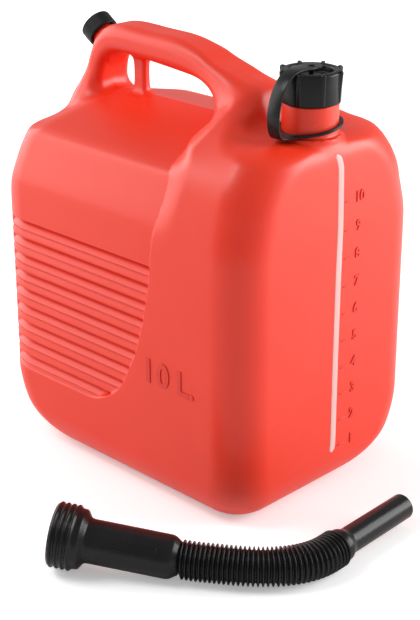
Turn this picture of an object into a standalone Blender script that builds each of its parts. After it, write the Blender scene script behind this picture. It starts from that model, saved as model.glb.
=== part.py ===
"""Ten litre plastic jerrycan with its screw caps, cap tether and pouring spout.

Metres, +Z up. The origin is the middle of the tank's foot on the floor, +X points to the
end wall with the litre scale, and -Y to the side that carries the capacity mark.
"""
from math import asin, cos, pi, radians, sin

import bmesh
import bpy
from mathutils import Matrix, Vector

# Clearances
SEAT_GAP = 0.0003
OVERRUN = 0.004
MERGE = 0.00001

# Tank
TANK_LENGTH = 0.2566
TANK_WIDTH = 0.1900
CORNER_RADIUS = 0.0290
FOOT_RADIUS = 0.0310
WALL = 0.0024
SIDE_HEIGHT = 0.2070
SHOULDER_HEIGHT = 0.0430
SHOULDER_INSET = 0.0150
ROOF_RISE = 0.0130
ROOF_CREST_WIDTH = 0.0480
REAR_SHOULDER_INSET = 0.0100
REAR_CREST_INSET = 0.0180

# How much of the corner radius is left at the foot and at the crest
CORNER_KEEP_SHARE = 0.5
# Heights of the plan sections up the shoulder and the roof
SHOULDER_SHARES = (0.55, 1.0)
ROOF_SHARES = (0.45, 1.0)

# Front block that carries the filler neck: its top falls towards the front
BLOCK_LENGTH = 0.0823
BLOCK_ROOT = 0.0020
BLOCK_HEIGHT = 0.0820
BLOCK_REAR_RADIUS = 0.0050
BLOCK_FRONT_RADIUS = 0.0200
BLOCK_FALL_SHARE = 0.12
BLOCK_CORNER_SHARE = 0.7

# Side panel with grips
PANEL_DEPTH = 0.0045
PANEL_CREST_DEPTH = 0.0010
PANEL_REAR_INSET = 0.0130
PANEL_BOTTOM_Z = 0.0600
GROOVE_COUNT = 9
GROOVE_PITCH = 0.0139
GROOVE_DROP = 0.0259
GROOVE_STEP_SHARE = 0.12
COLUMN_WIDTH_TOP = 0.0850
COLUMN_WIDTH_BOTTOM = 0.1480

# Handle
HANDLE_REAR_INSET = 0.0043
HANDLE_FRONT_INSET = 0.0623
HANDLE_HEIGHT = 0.0560
HANDLE_WIDTH = 0.0340
HANDLE_ROUNDING_SHARE = 0.85

# Post in the grip
POST_FROM_REAR = 0.0595
POST_WIDTH = 0.0130
POST_THICKNESS = 0.0070
POST_FLARE = 0.0060
POST_REACH_SHARE = 0.75
POST_ROUNDING_SHARE = 0.8

# Filler neck
NECK_FROM_FRONT = 0.0263
NECK_SEAT_RISE = 0.0035
NECK_COLLAR_RADIUS = 0.0220
NECK_COLLAR_HEIGHT = 0.0042
NECK_RADIUS = 0.0196
NECK_HEIGHT = 0.0260
NECK_THREAD_ROOT = 0.0172
NECK_THREAD_HEIGHT = 0.0140
NECK_THREAD_BEAD = 0.0010
NECK_BORE = 0.0148
NECK_SCOOP_RADIUS = 0.0260
NECK_SCOOP_SLOPE = 0.0030
THREAD_PITCH = 0.0040
THREAD_TURNS = 2.5
# The bead's size at the thread's ends, and the turn over which it reaches its full size
THREAD_END_SHARE = 0.4
THREAD_FADE_TURN = 0.25

# Filler cap
CAP_RADIUS = 0.0212
CAP_WALL = 0.0022
CAP_PLATE = 0.0022
CAP_RIM_HEIGHT = 0.0036
CAP_RIM_WIDTH = 0.0055
CAP_HUB_RADIUS = 0.0068
CAP_GRIP_COUNT = 8
CAP_GRIP_WIDTH = 0.0032
CAP_GRIP_DEPTH = 0.0014
CAP_PEG_RADIUS = 0.0021
CAP_PEG_HEAD_RADIUS = 0.0034
CAP_PEG_HEAD_HEIGHT = 0.0009
GASKET_THICKNESS = 0.0016

# Tether
TETHER_THICKNESS = 0.0018
TETHER_RING_WIDTH = 0.0028
TETHER_WIDTH = 0.0105
TETHER_TAB_REACH = 0.0300
TETHER_FLARE = 0.0026
TETHER_BULGE = 0.0150
EYELET_RADIUS = 0.0075
EYELET_REACH = 0.0095

# Vent at the rear of the handle
VENT_FROM_REAR = 0.0255
VENT_RISE = 0.0380
VENT_TILT = radians(56.0)
VENT_NECK_RADIUS = 0.0102
VENT_NECK_HEIGHT = 0.0085
VENT_ROOT = 0.0060
VENT_THREAD_ROOT = 0.0082
VENT_THREAD_HEIGHT = 0.0085
VENT_THREAD_BEAD = 0.0007
VENT_BORE = 0.0055
VENT_CAP_RADIUS = 0.0125
VENT_CAP_HEIGHT = 0.0125
VENT_CAP_WALL = 0.0018
VENT_CAP_PLATE = 0.0020
VENT_PITCH = 0.0030
VENT_TURNS = 2.0

# View stripe in the front wall
STRIPE_Y = 0.0026
STRIPE_WIDTH = 0.0060
STRIPE_DEPTH = 0.0010
STRIPE_BOTTOM_Z = 0.0330
STRIPE_TOP_DROP = 0.0030

# Spout
SPOUT_X = 0.0590
SPOUT_Y = -0.2028
SPOUT_HEADING = radians(33.9)
COLLAR_RADIUS = 0.0225
COLLAR_LENGTH = 0.0200
COLLAR_ROOT_DEPTH = 0.0012
COLLAR_RIDGES = 4
COLLAR_SHOULDER = 0.0040
COLLAR_BORE = 0.0190
SPOUT_WALL = 0.0018
SPOUT_TUBE_RADIUS = 0.0150
SPOUT_TUBE_END = 0.0810
SPOUT_CONE_LENGTH = 0.0065
HOSE_ROOT_RADIUS = 0.0108
HOSE_RIB_RADIUS = 0.0134
HOSE_BORE = 0.0090
HOSE_LENGTH = 0.1130
HOSE_RIBS = 36
HOSE_BEND = radians(58.0)
HOSE_STRAIGHT_START = 0.0210
HOSE_STRAIGHT_END = 0.0100
HOSE_SETTLE_LENGTH = 0.0150
HOSE_FLOOR_GAP = 0.0002
NOZZLE_CUFF_RADIUS = 0.0118
NOZZLE_CUFF_LENGTH = 0.0060
NOZZLE_CONE_LENGTH = 0.0036
NOZZLE_RADIUS = 0.0094
NOZZLE_LENGTH = 0.0750

# Faceting
CORNER_STEPS = 5
FOOT_STEPS = 4
TURN_STEPS = 32
THREAD_STEPS = 14
STRAP_STEPS = 14
BORE_STRIDE = 6

# Colours: base colour, roughness, metallic
RED = ((0.80, 0.055, 0.035, 1.0), 0.42, 0.0)
STRIPE_PINK = ((0.98, 0.52, 0.50, 1.0), 0.35, 0.0)
BLACK = ((0.018, 0.018, 0.019, 1.0), 0.38, 0.0)
SOFT_BLACK = ((0.022, 0.022, 0.022, 1.0), 0.55, 0.0)
SEAL_GREY = ((0.30, 0.30, 0.30, 1.0), 0.60, 0.0)

# The block's sections: height, front reach, and half-width at the neck and at the rear
BLOCK_SHARES = (
    (0.00, 0.930, 0.985, 0.985),
    (0.09, 0.950, 0.978, 0.972),
    (0.21, 0.960, 0.957, 0.950),
    (0.37, 0.965, 0.915, 0.875),
    (0.49, 0.970, 0.865, 0.770),
    (0.57, 0.975, 0.820, 0.690),
    (0.65, 0.965, 0.770, 0.610),
    (0.72, 0.930, 0.700, 0.540),
    (0.77, 0.860, 0.630, 0.490),
    (0.785, 0.420, 0.530, 0.450),
    (0.85, 0.370, 0.390, 0.340),
    (0.93, 0.330, 0.270, 0.240),
    (1.00, 0.300, 0.170, 0.160),
)

# The handle's stations: outer x and z, inner x and z, width. Shares of its length, height and width
HANDLE_SHARES = (
    (0.016, -0.31, 0.19, -0.31, 1.50),
    (0.024, -0.07, 0.153, -0.07, 1.32),
    (0.045, 0.13, 0.145, 0.13, 1.14),
    (0.068, 0.33, 0.155, 0.33, 1.03),
    (0.089, 0.545, 0.171, 0.47, 1.00),
    (0.116, 0.76, 0.205, 0.564, 1.00),
    (0.174, 0.936, 0.242, 0.61, 1.00),
    (0.263, 1.00, 0.295, 0.618, 1.00),
    (0.416, 0.99, 0.416, 0.60, 1.00),
    (0.568, 0.98, 0.568, 0.56, 1.00),
    (0.689, 0.89, 0.668, 0.54, 1.02),
    (0.763, 0.79, 0.726, 0.50, 1.07),
    (0.853, 0.70, 0.768, 0.41, 1.17),
    (0.926, 0.61, 0.80, 0.24, 1.33),
    (0.979, 0.53, 0.832, -0.02, 1.45),
    (1.00, 0.45, 0.874, -0.24, 1.45),
)

# The post's sections: height up the post, and how much of its flare it has there
POST_SHARES = (
    (0.00, 1.00),
    (0.12, 0.45),
    (0.30, 0.00),
    (0.75, 0.00),
    (0.90, 0.45),
    (1.00, 1.00),
)

# A ridge of the spout's collar: where its crest begins and ends along the pitch
RIDGE_SHARES = (0.25, 0.60)

# The column's rear edge: height up the panel, and how far it leans from the top line to the low one
COLUMN_SHARES = (
    (1.00, 0.00),
    (0.84, 0.04),
    (0.74, 0.06),
    (0.55, 0.16),
    (0.35, 0.32),
    (0.15, 0.58),
    (0.08, 0.76),
    (0.01, 1.00),
)

# The strap's run: distance out past the cap, and height between the ring and the cap's top
STRAP_SHARES = (
    (0.86, 0.05),
    (0.98, 0.20),
    (1.00, 0.40),
    (0.92, 0.62),
    (0.72, 0.82),
    (0.40, 0.95),
)


def clear_scene():
    for obj in list(bpy.data.objects):
        bpy.data.objects.remove(obj, do_unlink=True)


def make_collection(name):
    collection = bpy.data.collections.new(name)
    bpy.context.scene.collection.children.link(collection)
    return collection


def make_material(name, look):
    colour, roughness, metallic = look
    material = bpy.data.materials.new(name)
    material.use_nodes = True
    shader = material.node_tree.nodes["Principled BSDF"]
    shader.inputs["Base Color"].default_value = colour
    shader.inputs["Roughness"].default_value = roughness
    shader.inputs["Metallic"].default_value = metallic
    material.diffuse_color = colour
    return material


def add_object(name, mesh, collection):
    obj = bpy.data.objects.new(name, mesh)
    collection.objects.link(obj)
    return obj


def as_cutter(obj):
    obj.hide_render = True
    obj.display_type = "WIRE"
    return obj


def finish_part(obj, material, smooth_angle=radians(30.0)):
    obj.data.materials.clear()
    obj.data.materials.append(material)
    obj.data.shade_smooth()
    obj.data.set_sharp_from_angle(angle=smooth_angle)
    return obj


def boolean(obj, other, operation):
    modifier = obj.modifiers.new(operation.lower() + "_" + other.name, "BOOLEAN")
    modifier.operation = operation
    modifier.solver = "EXACT"
    modifier.object = other
    return modifier


def loft_mesh(name, sections):
    """Closed skin over sections that all have the same number of points."""
    mesh = bpy.data.meshes.new(name)
    build = bmesh.new()
    rings = [[build.verts.new(point) for point in section] for section in sections]
    for low, high in zip(rings, rings[1:]):
        for index, corner in enumerate(low):
            after = (index + 1) % len(low)
            build.faces.new((corner, low[after], high[after], high[index]))
    build.faces.new(list(reversed(rings[0])))
    build.faces.new(rings[-1])
    bmesh.ops.recalc_face_normals(build, faces=build.faces)
    build.to_mesh(mesh)
    build.free()
    return mesh


def rounded_outline(low_x, high_x, half_y, low_radius, high_radius):
    """Anticlockwise rounded rectangle in plan, with its own radius at either end."""
    corners = (
        (high_x - high_radius, -half_y + high_radius, high_radius, -pi / 2),
        (high_x - high_radius, half_y - high_radius, high_radius, 0.0),
        (low_x + low_radius, half_y - low_radius, low_radius, pi / 2),
        (low_x + low_radius, -half_y + low_radius, low_radius, pi),
    )
    points = []
    for centre_x, centre_y, radius, start in corners:
        for step in range(CORNER_STEPS + 1):
            angle = start + pi / 2 * step / CORNER_STEPS
            points.append((centre_x + radius * cos(angle), centre_y + radius * sin(angle)))
    return points


def body_sections(inset):
    """Plan sections of the tank from the floor to the root of the handle."""
    half_length = TANK_LENGTH / 2
    half_width = TANK_WIDTH / 2
    sections = []

    def add(height, rear, front, half_y, radius):
        outline = rounded_outline(rear, front, half_y, radius, radius)
        sections.append([(x, y, height) for x, y in outline])

    foot = FOOT_RADIUS - inset
    for step in range(FOOT_STEPS + 1):
        angle = pi / 2 * step / FOOT_STEPS
        back = FOOT_RADIUS - foot * sin(angle)
        height = FOOT_RADIUS - foot * cos(angle)
        radius = CORNER_RADIUS - back * CORNER_KEEP_SHARE
        add(height, back - half_length, half_length - back, half_width - back, radius)
    corner = CORNER_RADIUS - inset
    add(SIDE_HEIGHT, inset - half_length, half_length - inset, half_width - inset, corner)
    shoulder_top = SIDE_HEIGHT + SHOULDER_HEIGHT
    for share in SHOULDER_SHARES:
        add(SIDE_HEIGHT + SHOULDER_HEIGHT * share - inset * share / 2,
            REAR_SHOULDER_INSET * share ** 2 + inset - half_length,
            half_length - inset - WALL * share ** 2,
            half_width - SHOULDER_INSET * share - inset, corner)
    for share in ROOF_SHARES:
        crest = ROOF_CREST_WIDTH / 2
        side = half_width - SHOULDER_INSET
        add(shoulder_top + ROOF_RISE * share - inset,
            REAR_SHOULDER_INSET + (REAR_CREST_INSET - REAR_SHOULDER_INSET) * share + inset - half_length,
            half_length - NECK_FROM_FRONT * share - inset - WALL,
            side + (crest - side) * share - inset, CORNER_RADIUS * (1 - share * CORNER_KEEP_SHARE))
    return sections


def block_sections(inset):
    """Plan sections of the hipped block under the neck and the handle's front foot."""
    rear = block_rear_x()
    sections = []
    for height_share, reach_share, width_share, rear_share in BLOCK_SHARES:
        front = rear + BLOCK_LENGTH * reach_share - inset
        half_y = TANK_WIDTH / 2 * width_share - inset
        height = SIDE_HEIGHT - BLOCK_ROOT + BLOCK_HEIGHT * height_share - inset
        front_radius = min(BLOCK_FRONT_RADIUS, half_y * BLOCK_CORNER_SHARE,
                           (front - rear) * BLOCK_CORNER_SHARE)
        outline = rounded_outline(rear + inset, front, half_y, BLOCK_REAR_RADIUS, front_radius)
        section = []
        for x, y in outline:
            along = min((x - rear) / (neck_x() - rear), 1.0)
            taper = (rear_share + (width_share - rear_share) * along) / width_share
            section.append((x, y * taper, height + (neck_x() - x) * BLOCK_FALL_SHARE))
        sections.append(section)
    return sections


def handle_sections(inset):
    """Cross-sections of the handle, from the rear root over the bar to the front foot."""
    rear = handle_rear_x()
    length = TANK_LENGTH - HANDLE_REAR_INSET - HANDLE_FRONT_INSET
    roof = roof_z()
    sections = []
    for outer_x, outer_z, inner_x, inner_z, width_share in HANDLE_SHARES:
        outer = Vector((rear + length * outer_x, 0.0, roof + HANDLE_HEIGHT * outer_z))
        inner = Vector((rear + length * inner_x, 0.0, roof + HANDLE_HEIGHT * inner_z))
        across = (outer - inner).normalized()
        middle = (outer + inner) / 2
        half_depth = (outer - inner).length / 2 - inset
        half_width = HANDLE_WIDTH / 2 * width_share - inset
        radius = min(half_depth, half_width) * HANDLE_ROUNDING_SHARE
        outline = rounded_outline(-half_depth, half_depth, half_width, radius, radius)
        sections.append([tuple(middle + across * x + Vector((0.0, y, 0.0))) for x, y in outline])
    return sections


def screw_object(name, profile, collection, steps=TURN_STEPS):
    """Turned solid from a closed profile of (radius, height), outer side first and downwards."""
    mesh = bpy.data.meshes.new(name)
    build = bmesh.new()
    verts = [build.verts.new((radius, 0.0, height)) for radius, height in profile]
    on_axis = profile[0][0] == 0.0
    for first, second in zip(verts, verts[1:]):
        build.edges.new((first, second))
    if not on_axis:
        build.edges.new((verts[-1], verts[0]))
    build.to_mesh(mesh)
    build.free()
    obj = add_object(name, mesh, collection)
    screw = obj.modifiers.new("turn", "SCREW")
    screw.axis = "Z"
    screw.angle = 2 * pi
    screw.steps = steps
    screw.render_steps = steps
    screw.use_merge_vertices = True
    screw.merge_threshold = MERGE
    return obj


def plug_profile(radius, low, high):
    return [(0.0, high), (radius, high), (radius, low), (0.0, low)]


def box_mesh(name, low, high):
    mesh = bpy.data.meshes.new(name)
    build = bmesh.new()
    bmesh.ops.create_cube(build, size=1.0)
    size = Vector(high) - Vector(low)
    middle = (Vector(high) + Vector(low)) / 2
    bmesh.ops.scale(build, vec=size, verts=build.verts)
    bmesh.ops.translate(build, vec=middle, verts=build.verts)
    build.to_mesh(mesh)
    build.free()
    return mesh


def tube_object(name, points, radius, collection, resolution=1):
    """Round bead or rod along points, as a mesh with welded caps."""
    curve = bpy.data.curves.new(name, "CURVE")
    curve.dimensions = "3D"
    curve.bevel_depth = radius
    curve.bevel_resolution = resolution
    curve.use_fill_caps = True
    spline = curve.splines.new("POLY")
    spline.points.add(len(points) - 1)
    for target, point in zip(spline.points, points):
        target.co = (point[0], point[1], point[2], 1.0)
        target.radius = point[3] if len(point) > 3 else 1.0
    source = bpy.data.objects.new(name + "_curve", curve)
    collection.objects.link(source)
    graph = bpy.context.evaluated_depsgraph_get()
    mesh = bpy.data.meshes.new_from_object(source.evaluated_get(graph))
    build = bmesh.new()
    build.from_mesh(mesh)
    bmesh.ops.remove_doubles(build, verts=build.verts, dist=MERGE)
    bmesh.ops.recalc_face_normals(build, faces=build.faces)
    build.to_mesh(mesh)
    build.free()
    mesh.name = name
    obj = add_object(name, mesh, collection)
    obj.matrix_world = source.matrix_world
    bpy.data.objects.remove(source, do_unlink=True)
    return obj


def helix(radius, low, pitch, turns, steps):
    """Helix whose ends sink into the neck, so that the thread fades in and out."""
    count = int(turns * steps)
    points = []
    for index in range(count + 1):
        share = index / count
        fade = min(1.0, min(share, 1.0 - share) * turns / THREAD_FADE_TURN)
        angle = 2 * pi * turns * share
        points.append((radius * cos(angle), radius * sin(angle), low + pitch * turns * share,
                       THREAD_END_SHARE + (1.0 - THREAD_END_SHARE) * fade))
    return points


def roof_z():
    """Crest of the roof, on which the handle, the block and the necks stand."""
    return SIDE_HEIGHT + SHOULDER_HEIGHT + ROOF_RISE


def block_rear_x():
    return TANK_LENGTH / 2 - BLOCK_LENGTH


def handle_rear_x():
    return HANDLE_REAR_INSET - TANK_LENGTH / 2


def neck_x():
    return TANK_LENGTH / 2 - NECK_FROM_FRONT


def neck_seat_z():
    return roof_z() + NECK_SEAT_RISE


def neck_shoulder_z():
    return neck_seat_z() + NECK_HEIGHT


def neck_top_z():
    return neck_shoulder_z() + NECK_THREAD_HEIGHT


def vent_matrix():
    """Frame of the vent: its origin on the handle's corner, +Z out along the neck."""
    turn = Matrix.Rotation(-VENT_TILT, 4, "Y")
    return Matrix.Translation((handle_rear_x() + VENT_FROM_REAR, 0.0, roof_z() + VENT_RISE)) @ turn


def panel_edge_x(share):
    """Where the column's rear edge stands at a share of the panel's height."""
    top_x = TANK_LENGTH / 2 - COLUMN_WIDTH_TOP
    low_x = TANK_LENGTH / 2 - COLUMN_WIDTH_BOTTOM
    for (high, high_lean), (low, low_lean) in zip(COLUMN_SHARES, COLUMN_SHARES[1:]):
        if low <= share <= high:
            lean = low_lean + (high_lean - low_lean) * (share - low) / (high - low)
            return top_x + (low_x - top_x) * lean
    return low_x


def panel_outline():
    """Outline of the recessed panel in side view, as (x, z)."""
    rise = SIDE_HEIGHT - PANEL_BOTTOM_Z
    rear = PANEL_REAR_INSET - TANK_LENGTH / 2
    points = [(rear, PANEL_BOTTOM_Z + GROOVE_PITCH), (rear + GROOVE_PITCH, PANEL_BOTTOM_Z)]
    for share, _lean in reversed(COLUMN_SHARES):
        points.append((panel_edge_x(share), PANEL_BOTTOM_Z + rise * share))
    points.append((rear, SIDE_HEIGHT))
    return points


def panel_profile(inner):
    """Stepped face of the panel in cross-section, as (depth below the wall, z), from the top down."""
    top = SIDE_HEIGHT - GROOVE_DROP
    low = top - GROOVE_PITCH * (GROOVE_COUNT - GROOVE_STEP_SHARE)
    points = [(PANEL_CREST_DEPTH, SIDE_HEIGHT)]
    for index in range(GROOVE_COUNT):
        line = top - GROOVE_PITCH * index
        points.append((PANEL_CREST_DEPTH, line + GROOVE_PITCH * GROOVE_STEP_SHARE))
        points.append((inner, line))
    points.append((PANEL_CREST_DEPTH, low))
    points.append((PANEL_CREST_DEPTH, min(PANEL_BOTTOM_Z, low) - GROOVE_PITCH))
    return points


def prism(name, outline, place, collection):
    """Prism from an outline, with place giving each outline point's two ends."""
    ends = ([place(point, 0) for point in outline], [place(point, 1) for point in outline])
    return add_object(name, loft_mesh(name, ends), collection)


def panel_cutter(side, cutters):
    """What is taken off one side of the tank: the panel's outline met by its stepped face."""
    face = side * TANK_WIDTH / 2
    label = "near" if side < 0 else "far"
    outline = prism("panel_outline_" + label, panel_outline(),
                    lambda point, end: (point[0], face - side * PANEL_DEPTH * 2 + side * PANEL_DEPTH * 4 * end,
                                        point[1]), cutters)
    profile = panel_profile(PANEL_DEPTH)
    closed = profile + [(-PANEL_DEPTH, profile[-1][1]), (-PANEL_DEPTH, SIDE_HEIGHT)]
    reach = TANK_LENGTH / 2
    steps = prism("panel_steps_" + label, closed,
                  lambda point, end: (-reach + TANK_LENGTH * end, face - side * point[0], point[1]), cutters)
    boolean(outline, steps, "INTERSECT")
    return as_cutter(outline), as_cutter(steps)


def body_form(name, inset, cutters):
    """The tank and block as one solid, all faces moved in by inset."""
    form = add_object(name, loft_mesh(name, body_sections(inset)), cutters)
    block = add_object(name + "_block", loft_mesh(name + "_block", block_sections(inset)), cutters)
    boolean(form, block, "UNION")
    return as_cutter(form), as_cutter(block)


def scoop(name, grow, cutters):
    """Round seat cut into the block about the neck, so that the cap and the ring have room."""
    low = neck_seat_z() - grow
    high = roof_z() + HANDLE_HEIGHT * 2
    profile = [(0.0, high), (NECK_SCOOP_RADIUS + NECK_SCOOP_SLOPE * 2 + grow, high),
               (NECK_SCOOP_RADIUS + NECK_SCOOP_SLOPE + grow, low + NECK_HEIGHT),
               (NECK_SCOOP_RADIUS + grow, low + WALL), (NECK_SCOOP_RADIUS - WALL + grow, low), (0.0, low)]
    obj = screw_object(name, profile, cutters)
    obj.location = (neck_x(), 0.0, 0.0)
    obj.rotation_euler = (0.0, 0.0, pi / TURN_STEPS)
    return as_cutter(obj)


def make_cavity(cutters):
    """The space for the fuel: tank, block and handle moved in by the wall, and the two bores."""
    cavity, _block = body_form("cavity", WALL, cutters)
    reach = TANK_LENGTH / 2
    for side in (-1, 1):
        face = side * (TANK_WIDTH / 2 - PANEL_DEPTH - WALL)
        outside = side * TANK_WIDTH
        top_x = TANK_LENGTH / 2 - COLUMN_WIDTH_TOP + WALL
        low = (-reach, min(face, outside), PANEL_BOTTOM_Z - WALL)
        high = (top_x, max(face, outside), SIDE_HEIGHT)
        relief = add_object("cavity_relief", box_mesh("cavity_relief", low, high), cutters)
        boolean(cavity, as_cutter(relief), "DIFFERENCE")
    boolean(cavity, scoop("cavity_scoop", WALL, cutters), "DIFFERENCE")
    hollow = add_object("cavity_handle", loft_mesh("cavity_handle", handle_sections(WALL)), cutters)
    boolean(cavity, as_cutter(hollow), "UNION")
    bore = screw_object("cavity_bore", plug_profile(NECK_BORE, neck_seat_z() - FOOT_RADIUS,
                                                    neck_top_z() + OVERRUN), cutters)
    bore.location = (neck_x(), 0.0, 0.0)
    bore.rotation_euler = (0.0, 0.0, pi / TURN_STEPS / 2)
    boolean(cavity, as_cutter(bore), "UNION")
    top = VENT_NECK_HEIGHT + VENT_THREAD_HEIGHT + OVERRUN
    vent = screw_object("cavity_vent", plug_profile(VENT_BORE, -VENT_ROOT, top), cutters, TURN_STEPS // 2)
    vent.matrix_world = vent_matrix() @ Matrix.Rotation(2 * pi / TURN_STEPS, 4, "Z")
    boolean(cavity, as_cutter(vent), "UNION")
    return cavity


def make_neck(cutters):
    """Filler neck: collar under the tether ring, plain neck and the thread above its step."""
    seat = neck_seat_z()
    collar = seat + NECK_COLLAR_HEIGHT
    profile = [(0.0, neck_top_z()), (NECK_THREAD_ROOT, neck_top_z()), (NECK_THREAD_ROOT, neck_shoulder_z()),
               (NECK_RADIUS, neck_shoulder_z()), (NECK_RADIUS, collar), (NECK_COLLAR_RADIUS, collar),
               (NECK_COLLAR_RADIUS, seat - FOOT_RADIUS / 2), (0.0, seat - FOOT_RADIUS / 2)]
    neck = screw_object("neck_form", profile, cutters)
    neck.location = (neck_x(), 0.0, 0.0)
    run = THREAD_PITCH * THREAD_TURNS
    low = neck_shoulder_z() + (NECK_THREAD_HEIGHT - run) / 2
    bead = tube_object("neck_bead", helix(NECK_THREAD_ROOT, low, THREAD_PITCH, THREAD_TURNS, THREAD_STEPS),
                       NECK_THREAD_BEAD, cutters)
    bead.location = neck.location
    return as_cutter(neck), as_cutter(bead)


def make_vent_neck(cutters):
    """Vent neck: plain foot and the thread above its step."""
    top = VENT_NECK_HEIGHT + VENT_THREAD_HEIGHT
    profile = [(0.0, top), (VENT_THREAD_ROOT, top), (VENT_THREAD_ROOT, VENT_NECK_HEIGHT),
               (VENT_NECK_RADIUS, VENT_NECK_HEIGHT), (VENT_NECK_RADIUS, -VENT_ROOT), (0.0, -VENT_ROOT)]
    neck = screw_object("vent_form", profile, cutters, TURN_STEPS // 2)
    neck.matrix_world = vent_matrix()
    run = VENT_PITCH * VENT_TURNS
    low = VENT_NECK_HEIGHT + (VENT_THREAD_HEIGHT - run) / 2
    bead = tube_object("vent_bead", helix(VENT_THREAD_ROOT, low, VENT_PITCH, VENT_TURNS, THREAD_STEPS - 2),
                       VENT_THREAD_BEAD, cutters)
    bead.matrix_world = vent_matrix()
    return as_cutter(neck), as_cutter(bead)


def make_post(cutters):
    """Web that stands in the grip, flared at its foot and its head."""
    low = roof_z() - ROOF_RISE / 2
    high = roof_z() + HANDLE_HEIGHT * POST_REACH_SHARE
    middle = handle_rear_x() + POST_FROM_REAR
    sections = []
    for share, flare in POST_SHARES:
        half_x = POST_WIDTH / 2 + POST_FLARE * flare
        half_y = POST_THICKNESS / 2 + POST_FLARE * flare
        radius = half_y * POST_ROUNDING_SHARE
        outline = rounded_outline(middle - half_x, middle + half_x, half_y, radius, radius)
        sections.append([(x, y, low + (high - low) * share) for x, y in outline])
    return as_cutter(add_object("post_form", loft_mesh("post_form", sections), cutters))


def stripe_band(name, grow, cutters, target):
    """Slice of the tank's skin where the stripe runs, grow wider than it all round."""
    low = (neck_x(), STRIPE_Y - STRIPE_WIDTH / 2 - grow, STRIPE_BOTTOM_Z - grow)
    high = (TANK_LENGTH / 2 + OVERRUN + grow, STRIPE_Y + STRIPE_WIDTH / 2 + grow,
            roof_z() - STRIPE_TOP_DROP + grow)
    band = add_object(name, box_mesh(name, low, high), target)
    inner, _block = body_form(name + "_floor", STRIPE_DEPTH + grow, cutters)
    boolean(band, inner, "DIFFERENCE")
    return band


def make_tank(parts, cutters, material):
    """Blow-moulded tank, with handle, post and necks in one piece."""
    tank = add_object("tank_shell", loft_mesh("tank_shell", body_sections(0.0)), parts)
    block = add_object("block_form", loft_mesh("block_form", block_sections(0.0)), cutters)
    boolean(tank, as_cutter(block), "UNION")
    handle = add_object("handle_form", loft_mesh("handle_form", handle_sections(0.0)), cutters)
    boolean(tank, as_cutter(handle), "UNION")
    boolean(tank, make_post(cutters), "UNION")
    boolean(tank, scoop("neck_scoop", 0.0, cutters), "DIFFERENCE")
    for form in make_neck(cutters) + make_vent_neck(cutters):
        boolean(tank, form, "UNION")
    for side in (-1, 1):
        outline, _steps = panel_cutter(side, cutters)
        boolean(tank, outline, "DIFFERENCE")
    boolean(tank, as_cutter(stripe_band("stripe_groove", SEAT_GAP, cutters, cutters)), "DIFFERENCE")
    boolean(tank, make_cavity(cutters), "DIFFERENCE")
    finish_part(tank, material)
    return tank


def make_stripe(parts, cutters, material):
    """See-through stripe let into the end wall."""
    stripe = stripe_band("view_stripe", 0.0, cutters, parts)
    skin, _block = body_form("stripe_skin", 0.0, cutters)
    boolean(stripe, skin, "INTERSECT")
    finish_part(stripe, material)


def cap_base_z():
    return neck_shoulder_z() + SEAT_GAP


def cap_plate_z():
    """Underside of the cap's plate, above the neck's rim, the gasket and two seats."""
    return neck_top_z() + GASKET_THICKNESS + SEAT_GAP * 2 - cap_base_z()


def cap_top_z():
    return cap_base_z() + cap_plate_z() + CAP_PLATE + CAP_RIM_HEIGHT


def hub_top_z():
    return cap_top_z() + SEAT_GAP


def make_filler_cap(parts, cutters, material):
    """Screw cap with grips, a raised rim, and a hub whose peg holds the tether's eyelet."""
    plate = cap_plate_z()
    rim = plate + CAP_PLATE + CAP_RIM_HEIGHT
    inner = CAP_RADIUS - CAP_WALL
    hub = rim + SEAT_GAP
    peg = hub + TETHER_THICKNESS + SEAT_GAP * 2
    head = peg + CAP_PEG_HEAD_HEIGHT
    profile = [(0.0, head), (CAP_PEG_HEAD_RADIUS, head), (CAP_PEG_HEAD_RADIUS, peg), (CAP_PEG_RADIUS, peg),
               (CAP_PEG_RADIUS, hub), (CAP_HUB_RADIUS, hub), (CAP_HUB_RADIUS, plate + CAP_PLATE),
               (CAP_RADIUS - CAP_RIM_WIDTH, plate + CAP_PLATE), (CAP_RADIUS - CAP_RIM_WIDTH, rim),
               (CAP_RADIUS - CAP_WALL / 4, rim), (CAP_RADIUS, rim - CAP_WALL / 2), (CAP_RADIUS, 0.0),
               (inner, 0.0), (inner, plate), (0.0, plate)]
    cap = screw_object("filler_cap", profile, parts)
    cap.location = (neck_x(), 0.0, cap_base_z())
    for index in range(CAP_GRIP_COUNT):
        angle = 2 * pi * index / CAP_GRIP_COUNT + pi / CAP_GRIP_COUNT
        low = (CAP_RADIUS - CAP_WALL / 2, -CAP_GRIP_WIDTH / 2, 0.0)
        high = (CAP_RADIUS + CAP_GRIP_DEPTH, CAP_GRIP_WIDTH / 2, rim - CAP_WALL / 4)
        grip = add_object("cap_grip", box_mesh("cap_grip", low, high), cutters)
        grip.matrix_world = Matrix.Translation(cap.location) @ Matrix.Rotation(angle, 4, "Z")
        boolean(cap, as_cutter(grip), "UNION")
    finish_part(cap, material)


def make_filler_gasket(parts, material):
    low = neck_top_z() + SEAT_GAP
    disc = screw_object("filler_cap_gasket",
                        plug_profile(CAP_RADIUS - CAP_WALL - SEAT_GAP, 0.0, GASKET_THICKNESS), parts)
    disc.location = (neck_x(), 0.0, low)
    finish_part(disc, material)


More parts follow.
